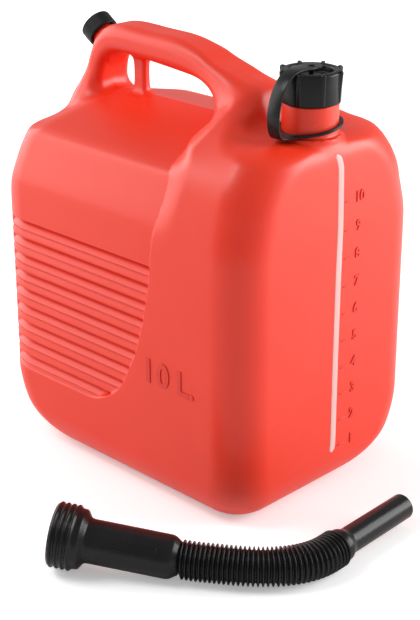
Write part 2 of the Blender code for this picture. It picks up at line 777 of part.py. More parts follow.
def strap_route():
    """Middle line of the strap as (distance from the neck's axis, height)."""
    ring = ring_low_z() + TETHER_THICKNESS / 2
    top = hub_top_z() + SEAT_GAP + TETHER_THICKNESS / 2
    start = TETHER_TAB_REACH + SEAT_GAP
    end = EYELET_REACH + SEAT_GAP
    points = [(start + TETHER_THICKNESS, ring)]
    for out_share, height_share in STRAP_SHARES:
        points.append((CAP_RADIUS + TETHER_BULGE * out_share, ring + (top - ring) * height_share))
    points.append((CAP_RADIUS + CAP_WALL, top))
    points.append((end + TETHER_THICKNESS, top))
    return [(start, ring)] + smooth_route(points, STRAP_STEPS) + [(end, top)]


def smooth_route(points, count):
    """Even points on a smooth curve through the given ones."""
    padded = [points[0]] + list(points) + [points[-1]]
    fine = []
    spans = len(points) - 1
    for index in range(count + 1):
        place = spans * index / count
        span = min(int(place), spans - 1)
        t = place - span
        before, low, high, after = padded[span:span + 4]
        fine.append(tuple(
            0.5 * (2 * b + (c - a) * t + (2 * a - 5 * b + 4 * c - d) * t ** 2
                   + (3 * b - a - 3 * c + d) * t ** 3)
            for a, b, c, d in zip(before, low, high, after)))
    return fine


def ring_low_z():
    return neck_seat_z() + NECK_COLLAR_HEIGHT + SEAT_GAP


def make_tether_ring(parts, cutters, material):
    """Ring that turns on the neck above its collar, with the tab for the strap."""
    inner = NECK_RADIUS + SEAT_GAP
    outer = inner + TETHER_RING_WIDTH
    ring = screw_object("tether_ring", [(outer, TETHER_THICKNESS), (outer, 0.0), (inner, 0.0),
                                        (inner, TETHER_THICKNESS)], parts)
    ring.location = (neck_x(), 0.0, ring_low_z())
    half = TETHER_WIDTH / 2
    root = (inner + outer) / 2
    flare = half + TETHER_FLARE
    outline = [(-flare, -root * cos(asin(flare / root))), (-half, -outer - half), (-half, -TETHER_TAB_REACH),
               (half, -TETHER_TAB_REACH), (half, -outer - half), (flare, -root * cos(asin(flare / root)))]
    tab = prism("tether_tab", outline,
                lambda point, end: (point[0], point[1], TETHER_THICKNESS * end), cutters)
    tab.location = ring.location
    boolean(ring, as_cutter(tab), "UNION")
    finish_part(ring, material)


def make_tether_strap(parts, material):
    """Strap from the ring's tab up to the eyelet, bowed out past the cap."""
    mesh = bpy.data.meshes.new("tether_strap")
    build = bmesh.new()
    half = TETHER_WIDTH / 2
    rows = []
    for distance, height in strap_route():
        rows.append([build.verts.new((side * half, -distance, height)) for side in (-1, 1)])
    for low, high in zip(rows, rows[1:]):
        build.faces.new((low[0], low[1], high[1], high[0]))
    build.to_mesh(mesh)
    build.free()
    strap = add_object("tether_strap", mesh, parts)
    strap.location = (neck_x(), 0.0, 0.0)
    shell = strap.modifiers.new("thickness", "SOLIDIFY")
    shell.thickness = TETHER_THICKNESS
    shell.offset = 0.0
    shell.use_even_offset = True
    finish_part(strap, material)


def make_tether_eyelet(parts, cutters, material):
    """Eyelet round the cap's peg, with the tongue that the strap meets."""
    hole = CAP_PEG_RADIUS + SEAT_GAP
    eyelet = screw_object("tether_eyelet", [(EYELET_RADIUS, TETHER_THICKNESS), (EYELET_RADIUS, 0.0),
                                            (hole, 0.0), (hole, TETHER_THICKNESS)], parts, TURN_STEPS // 2)
    eyelet.location = (neck_x(), 0.0, hub_top_z() + SEAT_GAP)
    half = TETHER_WIDTH / 2
    tongue = prism("eyelet_tongue", [(-half, -EYELET_REACH), (half, -EYELET_REACH),
                                     (half, -(EYELET_RADIUS + hole) / 2), (-half, -(EYELET_RADIUS + hole) / 2)],
                   lambda point, end: (point[0], point[1], TETHER_THICKNESS * end), cutters)
    tongue.location = eyelet.location
    boolean(eyelet, as_cutter(tongue), "UNION")
    finish_part(eyelet, material)


def make_vent_cap(parts, cap_material, gasket_material):
    """Small plain screw cap and its gasket at the rear of the handle."""
    base = VENT_NECK_HEIGHT + SEAT_GAP
    rim = VENT_NECK_HEIGHT + VENT_THREAD_HEIGHT + SEAT_GAP
    plate = rim + GASKET_THICKNESS + SEAT_GAP
    top = max(plate + VENT_CAP_PLATE, base + VENT_CAP_HEIGHT)
    inner = VENT_CAP_RADIUS - VENT_CAP_WALL
    edge = VENT_CAP_WALL / 2
    profile = [(0.0, top), (VENT_CAP_RADIUS - edge, top), (VENT_CAP_RADIUS, top - edge),
               (VENT_CAP_RADIUS, base), (inner, base), (inner, plate), (0.0, plate)]
    cap = screw_object("vent_cap", profile, parts)
    cap.matrix_world = vent_matrix()
    finish_part(cap, cap_material)
    disc = screw_object("vent_cap_gasket", plug_profile(inner - SEAT_GAP, rim, rim + GASKET_THICKNESS), parts,
                        TURN_STEPS // 2)
    disc.matrix_world = vent_matrix()
    finish_part(disc, gasket_material)


def last_crest():
    """Distance from the collar's mouth to the far end of its last ridge, on which the base lies."""
    pitch = (COLLAR_LENGTH - COLLAR_SHOULDER) / COLLAR_RIDGES
    return pitch * (COLLAR_RIDGES - 1 + RIDGE_SHARES[1])


def spout_tilt():
    """The base lies on its last ridge and on the end of its tube, which is thinner."""
    return asin((COLLAR_RADIUS - SPOUT_TUBE_RADIUS) / (SPOUT_TUBE_END - last_crest()))


def spout_matrix():
    """Frame of the spout's base: origin in the mouth of its collar, +Z down the tube."""
    heading = Matrix.Rotation(SPOUT_HEADING, 4, "Z")
    tilt = spout_tilt()
    lean = Matrix.Rotation(pi / 2 + tilt, 4, "Y")
    height = COLLAR_RADIUS * cos(tilt) + last_crest() * sin(tilt) + HOSE_FLOOR_GAP
    return Matrix.Translation((SPOUT_X, SPOUT_Y, height)) @ heading @ lean


def spout_base_profile():
    """Half-section of the base from the mouth on, as (radius, distance), outer side first."""
    outer = []
    shoulder = COLLAR_LENGTH - COLLAR_SHOULDER
    pitch = shoulder / COLLAR_RIDGES
    for index in range(COLLAR_RIDGES):
        start = pitch * index
        outer.append((COLLAR_RADIUS - COLLAR_ROOT_DEPTH, start))
        for share in RIDGE_SHARES:
            outer.append((COLLAR_RADIUS, start + pitch * share))
    outer.append((COLLAR_RADIUS - COLLAR_ROOT_DEPTH * 2, shoulder))
    outer.append((COLLAR_RADIUS - COLLAR_ROOT_DEPTH * 2, COLLAR_LENGTH))
    outer.append((SPOUT_TUBE_RADIUS, COLLAR_LENGTH + COLLAR_SHOULDER))
    outer.append((SPOUT_TUBE_RADIUS, SPOUT_TUBE_END))
    outer.append((HOSE_ROOT_RADIUS, SPOUT_TUBE_END + SPOUT_CONE_LENGTH))
    inner = [(HOSE_BORE, SPOUT_TUBE_END + SPOUT_CONE_LENGTH), (SPOUT_TUBE_RADIUS - SPOUT_WALL, SPOUT_TUBE_END),
             (SPOUT_TUBE_RADIUS - SPOUT_WALL, COLLAR_LENGTH - COLLAR_SHOULDER / 2),
             (COLLAR_BORE, COLLAR_LENGTH - COLLAR_SHOULDER / 2), (COLLAR_BORE, 0.0)]
    return list(reversed(outer)), inner


def make_spout_base(parts, material):
    """Screw collar, tube and cone of the spout, in one piece."""
    outer, inner = spout_base_profile()
    base = screw_object("spout_base", outer + list(reversed(inner)), parts)
    base.matrix_world = spout_matrix()
    finish_part(base, material)


def make_spout_gasket(parts, material):
    """Sealing ring on the floor of the spout's collar."""
    seat = COLLAR_LENGTH - COLLAR_SHOULDER / 2 - SEAT_GAP
    outer = COLLAR_BORE - SEAT_GAP
    inner = SPOUT_TUBE_RADIUS - SPOUT_WALL
    ring = screw_object("spout_gasket", [(outer, seat), (outer, seat - GASKET_THICKNESS),
                                         (inner, seat - GASKET_THICKNESS), (inner, seat)], parts)
    ring.matrix_world = spout_matrix()
    finish_part(ring, material)


def hose_start():
    return spout_matrix() @ Vector((0.0, 0.0, SPOUT_TUBE_END + SPOUT_CONE_LENGTH + SEAT_GAP))


def hose_heading(distance):
    """Heading of the hose in plan: straight at both ends, bending harder towards the nozzle."""
    bend_run = HOSE_LENGTH - HOSE_STRAIGHT_START - HOSE_STRAIGHT_END
    share = min(max((distance - HOSE_STRAIGHT_START) / bend_run, 0.0), 1.0)
    return SPOUT_HEADING + HOSE_BEND * share ** 2


def hose_points(stations):
    """Centre line of the hose at the given distances from its start."""
    start = hose_start()
    rest = HOSE_RIB_RADIUS + HOSE_FLOOR_GAP
    drop = max(start.z - rest, 0.0)
    x, y, walked = start.x, start.y, 0.0
    step = HOSE_LENGTH / (HOSE_RIBS * 4)
    points = []
    for station in stations:
        while walked < station - step / 2:
            heading = hose_heading(walked + step / 2)
            x += step * cos(heading)
            y += step * sin(heading)
            walked += step
        fall = max(1.0 - walked / HOSE_SETTLE_LENGTH, 0.0)
        points.append((x, y, rest + drop * fall ** 2))
    return points


def make_spout_hose(parts, cutters, material):
    """Ribbed hose with its bore: two points a rib, crest and root."""
    half_pitch = HOSE_LENGTH / (HOSE_RIBS * 2)
    stations = [half_pitch * index for index in range(HOSE_RIBS * 2 + 1)]
    route = hose_points(stations)
    ribs = []
    for index, point in enumerate(route):
        ribs.append(point + ((1.0 if index % 2 else HOSE_ROOT_RADIUS / HOSE_RIB_RADIUS),))
    hose = tube_object("spout_hose", ribs, HOSE_RIB_RADIUS, parts, 2)
    tail = hose_heading(HOSE_LENGTH)
    head = hose_heading(0.0)
    first, last = route[0], route[-1]
    before = (first[0] - OVERRUN * cos(head), first[1] - OVERRUN * sin(head), first[2])
    beyond = (last[0] + OVERRUN * cos(tail), last[1] + OVERRUN * sin(tail), last[2])
    bore = tube_object("hose_bore", [before] + route[::BORE_STRIDE] + [beyond], HOSE_BORE, cutters, 2)
    boolean(hose, as_cutter(bore), "DIFFERENCE")
    finish_part(hose, material, radians(20.0))
    return route


def make_spout_nozzle(parts, material, hose_end):
    """Plain end tube with the cuff that grips the hose."""
    cone = NOZZLE_CUFF_LENGTH + NOZZLE_CONE_LENGTH
    profile = [(NOZZLE_RADIUS, NOZZLE_LENGTH), (NOZZLE_RADIUS, cone), (NOZZLE_CUFF_RADIUS, NOZZLE_CUFF_LENGTH),
               (NOZZLE_CUFF_RADIUS, 0.0), (HOSE_BORE, 0.0), (NOZZLE_RADIUS - SPOUT_WALL, cone),
               (NOZZLE_RADIUS - SPOUT_WALL, NOZZLE_LENGTH)]
    nozzle = screw_object("spout_nozzle", profile, parts)
    tail = hose_heading(HOSE_LENGTH)
    place = Vector(hose_end) + Vector((cos(tail), sin(tail), 0.0)) * SEAT_GAP
    turn = Matrix.Rotation(tail, 4, "Z") @ Matrix.Rotation(pi / 2, 4, "Y")
    nozzle.matrix_world = Matrix.Translation(place) @ turn
    finish_part(nozzle, material)


def main():
    clear_scene()
    parts = make_collection("jerrycan")
    cutters = make_collection("jerrycan_cutters")
    red = make_material("red_plastic", RED)
    pink = make_material("stripe_plastic", STRIPE_PINK)
    black = make_material("black_plastic", BLACK)
    soft = make_material("tether_plastic", SOFT_BLACK)
    seal = make_material("seal_foam", SEAL_GREY)

    make_tank(parts, cutters, red)
    make_stripe(parts, cutters, pink)
    make_filler_cap(parts, cutters, black)
    make_filler_gasket(parts, seal)
    make_tether_ring(parts, cutters, soft)
    make_tether_strap(parts, soft)
    make_tether_eyelet(parts, cutters, soft)
    make_vent_cap(parts, black, seal)
    make_spout_base(parts, black)
    make_spout_gasket(parts, seal)
    route = make_spout_hose(parts, cutters, black)
    make_spout_nozzle(parts, black, route[-1])


main()
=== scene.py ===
from math import asin, cos, pi, radians, sin

import bmesh
import bpy
import numpy as np
from mathutils import Matrix, Vector


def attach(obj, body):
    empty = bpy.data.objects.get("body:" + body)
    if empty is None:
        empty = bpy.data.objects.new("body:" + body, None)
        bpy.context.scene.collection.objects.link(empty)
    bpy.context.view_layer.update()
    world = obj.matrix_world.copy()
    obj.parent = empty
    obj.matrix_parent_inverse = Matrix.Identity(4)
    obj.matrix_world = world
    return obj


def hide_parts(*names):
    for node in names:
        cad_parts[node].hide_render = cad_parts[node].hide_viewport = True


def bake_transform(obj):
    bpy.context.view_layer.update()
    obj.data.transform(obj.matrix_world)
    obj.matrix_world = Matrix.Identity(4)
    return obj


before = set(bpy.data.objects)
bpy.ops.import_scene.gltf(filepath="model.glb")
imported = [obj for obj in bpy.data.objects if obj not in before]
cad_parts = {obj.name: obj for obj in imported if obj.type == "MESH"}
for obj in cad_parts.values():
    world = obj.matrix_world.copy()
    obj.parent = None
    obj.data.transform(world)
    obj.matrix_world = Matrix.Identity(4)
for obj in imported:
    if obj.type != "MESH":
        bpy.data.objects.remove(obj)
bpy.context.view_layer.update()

MM = 0.001

# All sizes are in millimetres until MM turns them into metres.
# The tank's box. Above REAR_FREE nothing stands out behind REAR_WALL
HALF_LENGTH = 128.3
HALF_WIDTH = 95.0
CORNER = 29.5
SIDE_TOP = 207.0
ROOF_TOP = 263.0
REAR_WALL = 127.9
REAR_FREE = 222.0

# The foot: its fillet, how much the near corner and the others grow to it, and its recess
FOOT_RADIUS = 31.0
CORNER_GROWTH = (8.0, 48.0)
CORNER_REACH = 62.0
FOOT_RECESS = (78.0, 46.0, 2.2)

# The block ahead of the handle: a shelf round the neck, and a mound that slopes down to it.
# A level is a height on the block, less its rise from the neck towards the rear
NECK_X = 102.0
BLOCK_REAR = 46.0
BLOCK_FALL = 0.12
SHELF_LEVEL = 268.6
MOUND_LEVEL = 288.5
SLOPE_FOOT_X = 79.5
SLOPE_FOOT_LEVEL = 269.4
SLOPE_LEAN = 0.78
SLOPE_SCALE = 0.79

# The hollow in that slope which leaves room for the ring
SCOOP_LEVEL = 269.6
SCOOP_RADIUS = 24.0
SCOOP_START = 268.0
SCOOP_SPREAD = 0.45

# The necks: radius and top of each step, the vent's measured along its axis
NECK_STEPS = ((22.0, 270.6), (19.6, 292.3), (17.2, 306.4))
NECK_ROOT = 250.0
NECK_BORE = 14.8
BORE_BOTTOM = 285.0
VENT_STEPS = ((10.2, 8.4), (8.2, 16.9))
VENT_ROOT = -12.0
VENT_LEAN = radians(56.0)
VENT_AXIS = np.array((-sin(VENT_LEAN), 0.0, cos(VENT_LEAN)))
VENT_FOOT = np.array((-98.5, 0.0, 301.0))

# The post in the grip: its section, its ends, and its flares as width, height and fall
POST_X = -64.5
POST_HALF = (6.0, 3.6)
POST_EDGE = 2.8
POST_ENDS = (256.0, 304.0)
POST_FLARE_LOW = (5.0, 262.5, 4.0)
POST_FLARE_HIGH = (1.6, 296.0, 3.0)

# The side panel and its grooves
PANEL_LOW = 60.0
PANEL_TURN = 0.98
PANEL_DEPTH = 1.7
PANEL_CORNER = 20.0
PANEL_ZONE = (55.0, 250.0, 62.0)
GROOVE_TURN = 0.80
GROOVE_TOP = 181.1
GROOVE_PITCH = 13.9
GROOVES = 9
HOOK_REACH = 15.0

# The rear part's side: height, half-width
FACET_TABLE = ((-50, 95), (207, 95), (250, 80), (263, 24), (330, -264))

# The side of the column and the mound: level, half-width at the neck and at the mound's rear
SIDE_TABLE = (
    (-50, 95, 95), (190, 95, 95), (199, 94.9, 94.9), (205, 94.4, 94.6), (211, 93.3, 93.6),
    (217, 91.9, 92.4), (223, 90.2, 90.9), (229, 88.5, 89), (235, 87.4, 87.6), (240, 85.8, 86),
    (245, 83.6, 83.4), (251.7, 79.6, 77.5), (258.3, 74.4, 69), (264, 69.4, 60), (268.5, 64.8, 52.5),
    (274.7, 54, 42), (281, 38, 29.5), (287, 21, 18), (292, 5, 4), (330, -100, -80))

# Where the column and the mound begin: height, x of the crease, and the run to their own side
CREASE_TABLE = ((-50, 40, 18), (200, 42, 18), (207.5, 44.5, 18), (218.5, 46.8, 17),
                (226.3, 48, 17), (233.9, 49, 17), (241, 49.3, 18), (246, 48, 20),
                (250.3, 44.6, 23), (253.3, 40.6, 27), (256.2, 36.2, 31), (258.9, 31.4, 34),
                (261.6, 26.2, 36), (264, 22.5, 38), (275, 20, 42), (330, 20, 42))

# The front end: level, x. The rear end: height, x
FRONT_TABLE = ((-50, 128.3), (207, 128.3), (245, 127), (252, 126.8), (258.3, 126.2),
               (264, 124.2), (268.5, 119.5), (280, 102))
REAR_TABLE = ((-50, 128.3), (207, 128.3), (230, 125.6), (243, 122), (250, 118.6),
              (257, 115.8), (263, 112.6), (280, 100))

# The handle in shares of its length, height and width: outer x and z, inner x and z, width
HANDLE_TABLE = np.array((
    (-0.018, -0.41, 0.19, -0.41, 1.5), (-0.002, -0.06, 0.153, -0.07, 1.34), (0.033, 0.15, 0.145, 0.13, 1.16),
    (0.065, 0.34, 0.155, 0.33, 1.03), (0.089, 0.545, 0.171, 0.47, 1), (0.116, 0.76, 0.205, 0.564, 1),
    (0.174, 0.936, 0.242, 0.61, 1), (0.263, 1, 0.295, 0.618, 1), (0.416, 0.99, 0.416, 0.6, 1),
    (0.568, 0.98, 0.568, 0.56, 1), (0.689, 0.89, 0.668, 0.54, 1.02), (0.763, 0.79, 0.726, 0.5, 1.07),
    (0.853, 0.7, 0.768, 0.41, 1.17), (0.926, 0.61, 0.8, 0.24, 1.33), (0.979, 0.53, 0.832, -0.02, 1.45)))
HANDLE_REAR = -124.0
HANDLE_LENGTH = 190.0
HANDLE_HEIGHT = 56.0
HANDLE_WIDTH = 34.0
HANDLE_ROUNDNESS = 0.86
HANDLE_FILLET = 12.0
HANDLE_REAR_FILLET = 14.0

# The panel's front edge, which the crease carries on over the facet: height, x
EDGE_TABLE = ((-50, -12), (60, -9), (71, 1), (82, 10), (111, 25), (140, 34),
              (168, 39.5), (184, 41.5), (207, 44.5), (218.5, 47.5), (226.3, 50), (233.9, 52),
              (241, 53.5), (330, 53.5))

# The groove's section: share of the pitch from its top, depth
GROOVE_TABLE = ((0, 0), (0.05, 4.6), (0.15, 4.7), (0.5, -0.4), (0.535, 1), (0.58, 1.1),
                (0.86, -0.1), (1, 0))


def smooth_rows(rows, count):
    """Rows of a table made dense by a Catmull-Rom curve through them."""
    rows = np.asarray(rows, float)
    padded = np.vstack((2 * rows[0] - rows[1], rows, 2 * rows[-1] - rows[-2]))
    fine = []
    spans = len(rows) - 1
    for index in range(count * spans + 1):
        span = min(index // count, spans - 1)
        t = index / count - span
        a, b, c, d = padded[span:span + 4]
        fine.append(0.5 * (2 * b + (c - a) * t + (2 * a - 5 * b + 4 * c - d) * t ** 2
                           + (3 * b - a - 3 * c + d) * t ** 3))
    return np.array(fine)


def union(a, b, k):
    """Two fields joined with a fillet of about k."""
    share = np.clip(0.5 + 0.5 * (b - a) / k, 0.0, 1.0)
    return b * (1 - share) + a * share - k * share * (1 - share)


def cut(a, b, k):
    """What two fields share, with its edge rounded by about k."""
    return -union(-a, -b, k)


def corner_field(a, b, past=0.0):
    """Distance to a square corner from the distances to its faces; less a radius it is rounded."""
    outside = np.sqrt(np.maximum(a, 0) ** 2 + np.maximum(b, 0) ** 2 + past ** 2)
    return outside + np.minimum(np.maximum(a, b), 0)


def eased(table, column, spread):
    """A column of a table against height, on an even scale with its corners eased."""
    table = np.asarray(table)
    values = np.interp(LEVELS, table[:, 0], table[:, column])
    reach = int(spread * 12)
    weights = np.exp(-0.5 * (np.arange(-reach, reach + 1) * LEVEL_STEP / spread) ** 2)
    padded = np.pad(values, reach, mode="edge")
    return np.convolve(padded, weights / weights.sum(), mode="valid")


# The tables on an even scale. The facet's lower edge is softer than its upper one
LEVEL_STEP = 0.25
LEVELS = np.arange(-20.0, 325.0, LEVEL_STEP)
FACET_SOFT = np.where(LEVELS < 230.0, eased(FACET_TABLE, 1, 7.0), eased(FACET_TABLE, 1, 2.6))
SIDE_AT_NECK = eased(SIDE_TABLE, 1, 2.5)
SIDE_AT_REAR = eased(SIDE_TABLE, 2, 2.5)
CREASE_X = eased(CREASE_TABLE, 1, 1.2)
CREASE_RUN = eased(CREASE_TABLE, 2, 2.0)
FRONT_X = eased(FRONT_TABLE, 1, 2.5)
REAR_X = eased(REAR_TABLE, 1, 6.0)
EDGE_X = eased(EDGE_TABLE, 1, 4.0)


def look(height, column):
    """An eased column of a table at a height or level."""
    return np.interp(height, LEVELS, column)


def half_width(x, z):
    """Half-width: facet and roof behind the crease, column and mound ahead of it."""
    level = z - (NECK_X - x) * BLOCK_FALL
    along = np.clip((x - BLOCK_REAR) / (NECK_X - BLOCK_REAR), -0.3, 1.0)
    rear = look(level, SIDE_AT_REAR)
    column = rear + (look(level, SIDE_AT_NECK) - rear) * along
    facet = look(z, FACET_SOFT)
    t = np.clip((x - look(z, CREASE_X)) / look(z, CREASE_RUN), 0.0, 1.0)
    return facet + (column - facet) * t * (1.5 - 0.5 * t * t)


def side_gap(x, side, z):
    """Distance to the side, allowing for its slope."""
    by_height = half_width(x, z + 0.5) - half_width(x, z - 0.5)
    by_length = half_width(x + 0.5, z) - half_width(x - 0.5, z)
    return (side - half_width(x, z)) / np.sqrt(1 + np.minimum(by_height ** 2 + by_length ** 2, 40.0))


def block_rise(x):
    """How much the block has risen at a place behind the neck."""
    return (NECK_X - np.minimum(x, NECK_X)) * BLOCK_FALL


def body_field(x, y, z):
    """Tank with column and mound, without handle, necks and panels."""
    level = z - block_rise(x)
    ends = np.maximum(x - look(level, FRONT_X), -x - look(z, REAR_X))
    growth = np.where((x > 0) & (y < 0), CORNER_GROWTH[0], CORNER_GROWTH[1])
    corner = CORNER + growth * np.clip(1.0 - z / CORNER_REACH, 0.0, 1.0) ** 2
    around = corner_field(ends + corner, side_gap(x, np.abs(y), z) + corner) - corner
    field = corner_field(around + FOOT_RADIUS, FOOT_RADIUS - z) - FOOT_RADIUS
    slant = (x - SLOPE_FOOT_X + (level - SLOPE_FOOT_LEVEL) * SLOPE_LEAN) * SLOPE_SCALE
    shelf = union(level - SHELF_LEVEL, cut(slant, level - MOUND_LEVEL, 12.0), 9.0)
    return cut(field, shelf, 7.0)


HANDLE_FINE = smooth_rows(HANDLE_TABLE, 6)


def handle_frames():
    """Middle, direction across, half-depth and half-width of each section of the handle."""
    start = np.array((HANDLE_REAR, ROOF_TOP))
    size = np.array((HANDLE_LENGTH, HANDLE_HEIGHT))
    outer, inner = [start + size * HANDLE_FINE[:, first:first + 2] for first in (0, 2)]
    across = outer - inner
    depth = np.linalg.norm(across, axis=1)
    return (outer + inner) / 2, across / depth[:, None], depth / 2, HANDLE_WIDTH / 2 * HANDLE_FINE[:, 4]


HANDLE_MIDDLE, HANDLE_ACROSS, HANDLE_HALF_DEPTH, HANDLE_HALF_WIDTH = handle_frames()


def nearest_sections(point):
    """The handle's section through each point: its number, the share on to the next, how far past an end."""
    last = len(HANDLE_MIDDLE) - 1
    best = np.zeros((4, len(point)))
    best[0] = 1e9

    def keep_nearer(mask, gap, number, share, beyond):
        closer = mask & (gap < best[0])
        for row, value in enumerate((gap, number, share, beyond)):
            best[row] = np.where(closer, value, best[row])

    before = None
    for index in range(last + 1):
        offset = point - HANDLE_MIDDLE[index]
        across = HANDLE_ACROSS[index]
        here = offset[:, 0] * across[1] - offset[:, 1] * across[0]
        if index in (0, last):
            past = here < 0 if index == 0 else here > 0
            gap = (offset ** 2).sum(1) + 1.0
            keep_nearer(past, gap, min(index, last - 1), min(index, 1), np.abs(here))
        if before is not None:
            crossed = (before > 0) != (here > 0)
            t = before / np.where(crossed, before - here, 1.0)
            middle = HANDLE_MIDDLE[index - 1] * (1 - t[:, None]) + HANDLE_MIDDLE[index] * t[:, None]
            keep_nearer(crossed, ((point - middle) ** 2).sum(1), index - 1, t, 0.0)
        before = here
    return best[1].astype(int), best[2], best[3]


def handle_field_near(x, y, z):
    """Distance to the handle, measured in the section through each point."""
    point = np.stack((x, z), 1)
    found, share, beyond = nearest_sections(point)

    def mixed(values):
        return (values[found].T * (1 - share) + values[found + 1].T * share).T

    across = mixed(HANDLE_ACROSS)
    across = across / np.linalg.norm(across, axis=1)[:, None]
    depth = mixed(HANDLE_HALF_DEPTH)
    width = mixed(HANDLE_HALF_WIDTH)
    u = ((point - mixed(HANDLE_MIDDLE)) * across).sum(1)
    radius = np.minimum(depth, width) * HANDLE_ROUNDNESS
    return corner_field(np.abs(u) - depth + radius, np.abs(y) - width + radius, beyond) - radius


def handle_field(x, y, z):
    """The handle's field; far from it, only a distance that is large enough."""
    field = np.full(len(x), 60.0)
    near = (z > 235.0) & (np.abs(y) < 48.0) & (x > -135.0) & (x < 90.0)
    if near.any():
        field[near] = handle_field_near(x[near], y[near], z[near])
    return field


def neck_field(x, y, z):
    """Filler neck: collar, thread and mouth, each narrower than the last."""
    r = np.hypot(x - NECK_X, y)
    collar, thread, mouth = [np.maximum(r - radius, z - top) for radius, top in NECK_STEPS]
    return np.maximum(np.minimum(union(collar, thread, 2.0), mouth), NECK_ROOT - z)


def vent_field(x, y, z):
    """Vent neck, leaning back at the rear of the handle."""
    dx = x - VENT_FOOT[0]
    dz = z - VENT_FOOT[2]
    along = dx * VENT_AXIS[0] + dz * VENT_AXIS[2]
    r = np.hypot(dx * VENT_AXIS[2] - dz * VENT_AXIS[0], y)
    foot, neck = [np.maximum(r - radius, along - top) for radius, top in VENT_STEPS]
    return np.minimum(np.maximum(foot, VENT_ROOT - along), np.maximum(neck, -along))


def post_field(x, y, z):
    """Post between roof and handle, flared at both ends."""
    width, height, fall = POST_FLARE_LOW
    flare = width * np.exp(-np.maximum(z - height, 0.0) / fall)
    width, height, fall = POST_FLARE_HIGH
    flare = flare + width * np.exp(-np.maximum(height - z, 0.0) / fall)
    section = corner_field(np.abs(x - POST_X) - POST_HALF[0] + POST_EDGE - flare,
                           np.abs(y) - POST_HALF[1] + POST_EDGE - flare) - POST_EDGE
    return np.maximum(section, np.maximum(POST_ENDS[0] - z, z - POST_ENDS[1]))


def smooth_step(value):
    """Nought to one with an even start and end."""
    value = np.clip(value, 0.0, 1.0)
    return value * value * (3 - 2 * value)


def panel_depth(x, y, z):
    """How far the side panel, with its rear end round the corner, lies below the wall."""
    edge = look(z, EDGE_X)
    slope = look(z + 0.5, EDGE_X) - look(z - 0.5, EDGE_X)
    ahead = (edge - x) / np.sqrt(1 + slope ** 2)
    centre = HALF_LENGTH - CORNER
    round_corner = np.arctan2(np.maximum(-centre - x, 0.0), np.maximum(np.abs(y) - HALF_WIDTH + CORNER, 0.01))
    along = np.where(x > -centre, x + centre, -CORNER * round_corner)
    inside = union(z - PANEL_LOW, ahead, PANEL_CORNER)
    mask = smooth_step(inside / 2.4 + 0.4) * smooth_step((along + CORNER * PANEL_TURN) / 24.0)
    # the recess runs out where the facet itself has fallen away as far
    spare = PANEL_DEPTH - (HALF_WIDTH - look(z, FACET_SOFT))
    plain = 0.5 * (spare + np.sqrt(spare ** 2 + 0.6))
    phase = (GROOVE_TOP - z) / GROOVE_PITCH
    turn = phase - np.floor(phase)
    grooved = (phase > 0) & (phase < GROOVES)
    steps = np.where(grooved, np.interp(turn, *np.transpose(GROOVE_TABLE)), 0.0)
    # a groove's rear end is closed by a curved wall, further on the lower down its section
    hook = along + CORNER * GROOVE_TURN - HOOK_REACH * turn ** 2
    closed = smooth_step(union(inside, np.where(turn < 0.52, hook, 9.0), 3.0) / 2.0 + 0.4)
    return plain * mask + steps * closed


def tank_field(points):
    """The whole tank: negative inside, positive outside."""
    x, y, z = points[:, 0], points[:, 1], points[:, 2]
    fillet = HANDLE_FILLET + HANDLE_REAR_FILLET * np.clip((-92.0 - x) / 20.0, 0.0, 1.0)
    field = union(body_field(x, y, z), handle_field(x, y, z), fillet)
    field = np.where(z > REAR_FREE, cut(field, -x - REAR_WALL, 3.0), field)
    field = union(field, post_field(x, y, z), 5.0)
    r = np.hypot(x - NECK_X, y)
    opening = SCOOP_RADIUS + np.maximum(z - SCOOP_START, 0.0) * SCOOP_SPREAD
    field = cut(field, -np.maximum(r - opening, SCOOP_LEVEL + block_rise(x) - z), 3.0)
    field = union(field, neck_field(x, y, z), 4.0)
    field = union(field, vent_field(x, y, z), 3.0)
    field = np.maximum(field, np.minimum(NECK_BORE - r, z - BORE_BOTTOM))
    near, top, front = PANEL_ZONE
    flank = (np.abs(y) > near) & (z < top) & (x < front)
    field[flank] += panel_depth(x[flank], y[flank], z[flank])
    length, width, height = FOOT_RECESS
    foot = np.maximum(np.maximum(np.abs(x) - length, np.abs(y) - width), z - height)
    return cut(field, -foot, 3.0)


def steps_between(*pairs):
    """Grid lines: each pair is where a stretch ends and the spacing up to there."""
    lines = [pairs[0]]
    for stop, spacing in pairs[1:]:
        start = lines[-1]
        count = max(1, round((stop - start) / spacing))
        lines.extend(start + (stop - start) * (index + 1) / count for index in range(count))
    return np.array(lines)


CELL_CORNERS = [(i, j, k) for i in (0, 1) for j in (0, 1) for k in (0, 1)]


def cell_spots(values, cells, axes):
    """For each cell, the middle of the points where its edges cross the surface."""
    spot = np.zeros((len(cells), 3))
    weight = np.zeros(len(cells))
    for low in CELL_CORNERS:
        for axis in range(3):
            if low[axis]:
                continue
            high = tuple(value + (place == axis) for place, value in enumerate(low))
            a, b = cells + low, cells + high
            va, vb = values[tuple(a.T)], values[tuple(b.T)]
            crossed = (va < 0) != (vb < 0)
            share = np.where(crossed, va / np.where(crossed, va - vb, 1.0), 0.0)
            pa = np.stack([axes[place][a[:, place]] for place in range(3)], 1)
            pb = np.stack([axes[place][b[:, place]] for place in range(3)], 1)
            spot += np.where(crossed[:, None], pa + (pb - pa) * share[:, None], 0.0)
            weight += crossed
    return spot / weight[:, None]


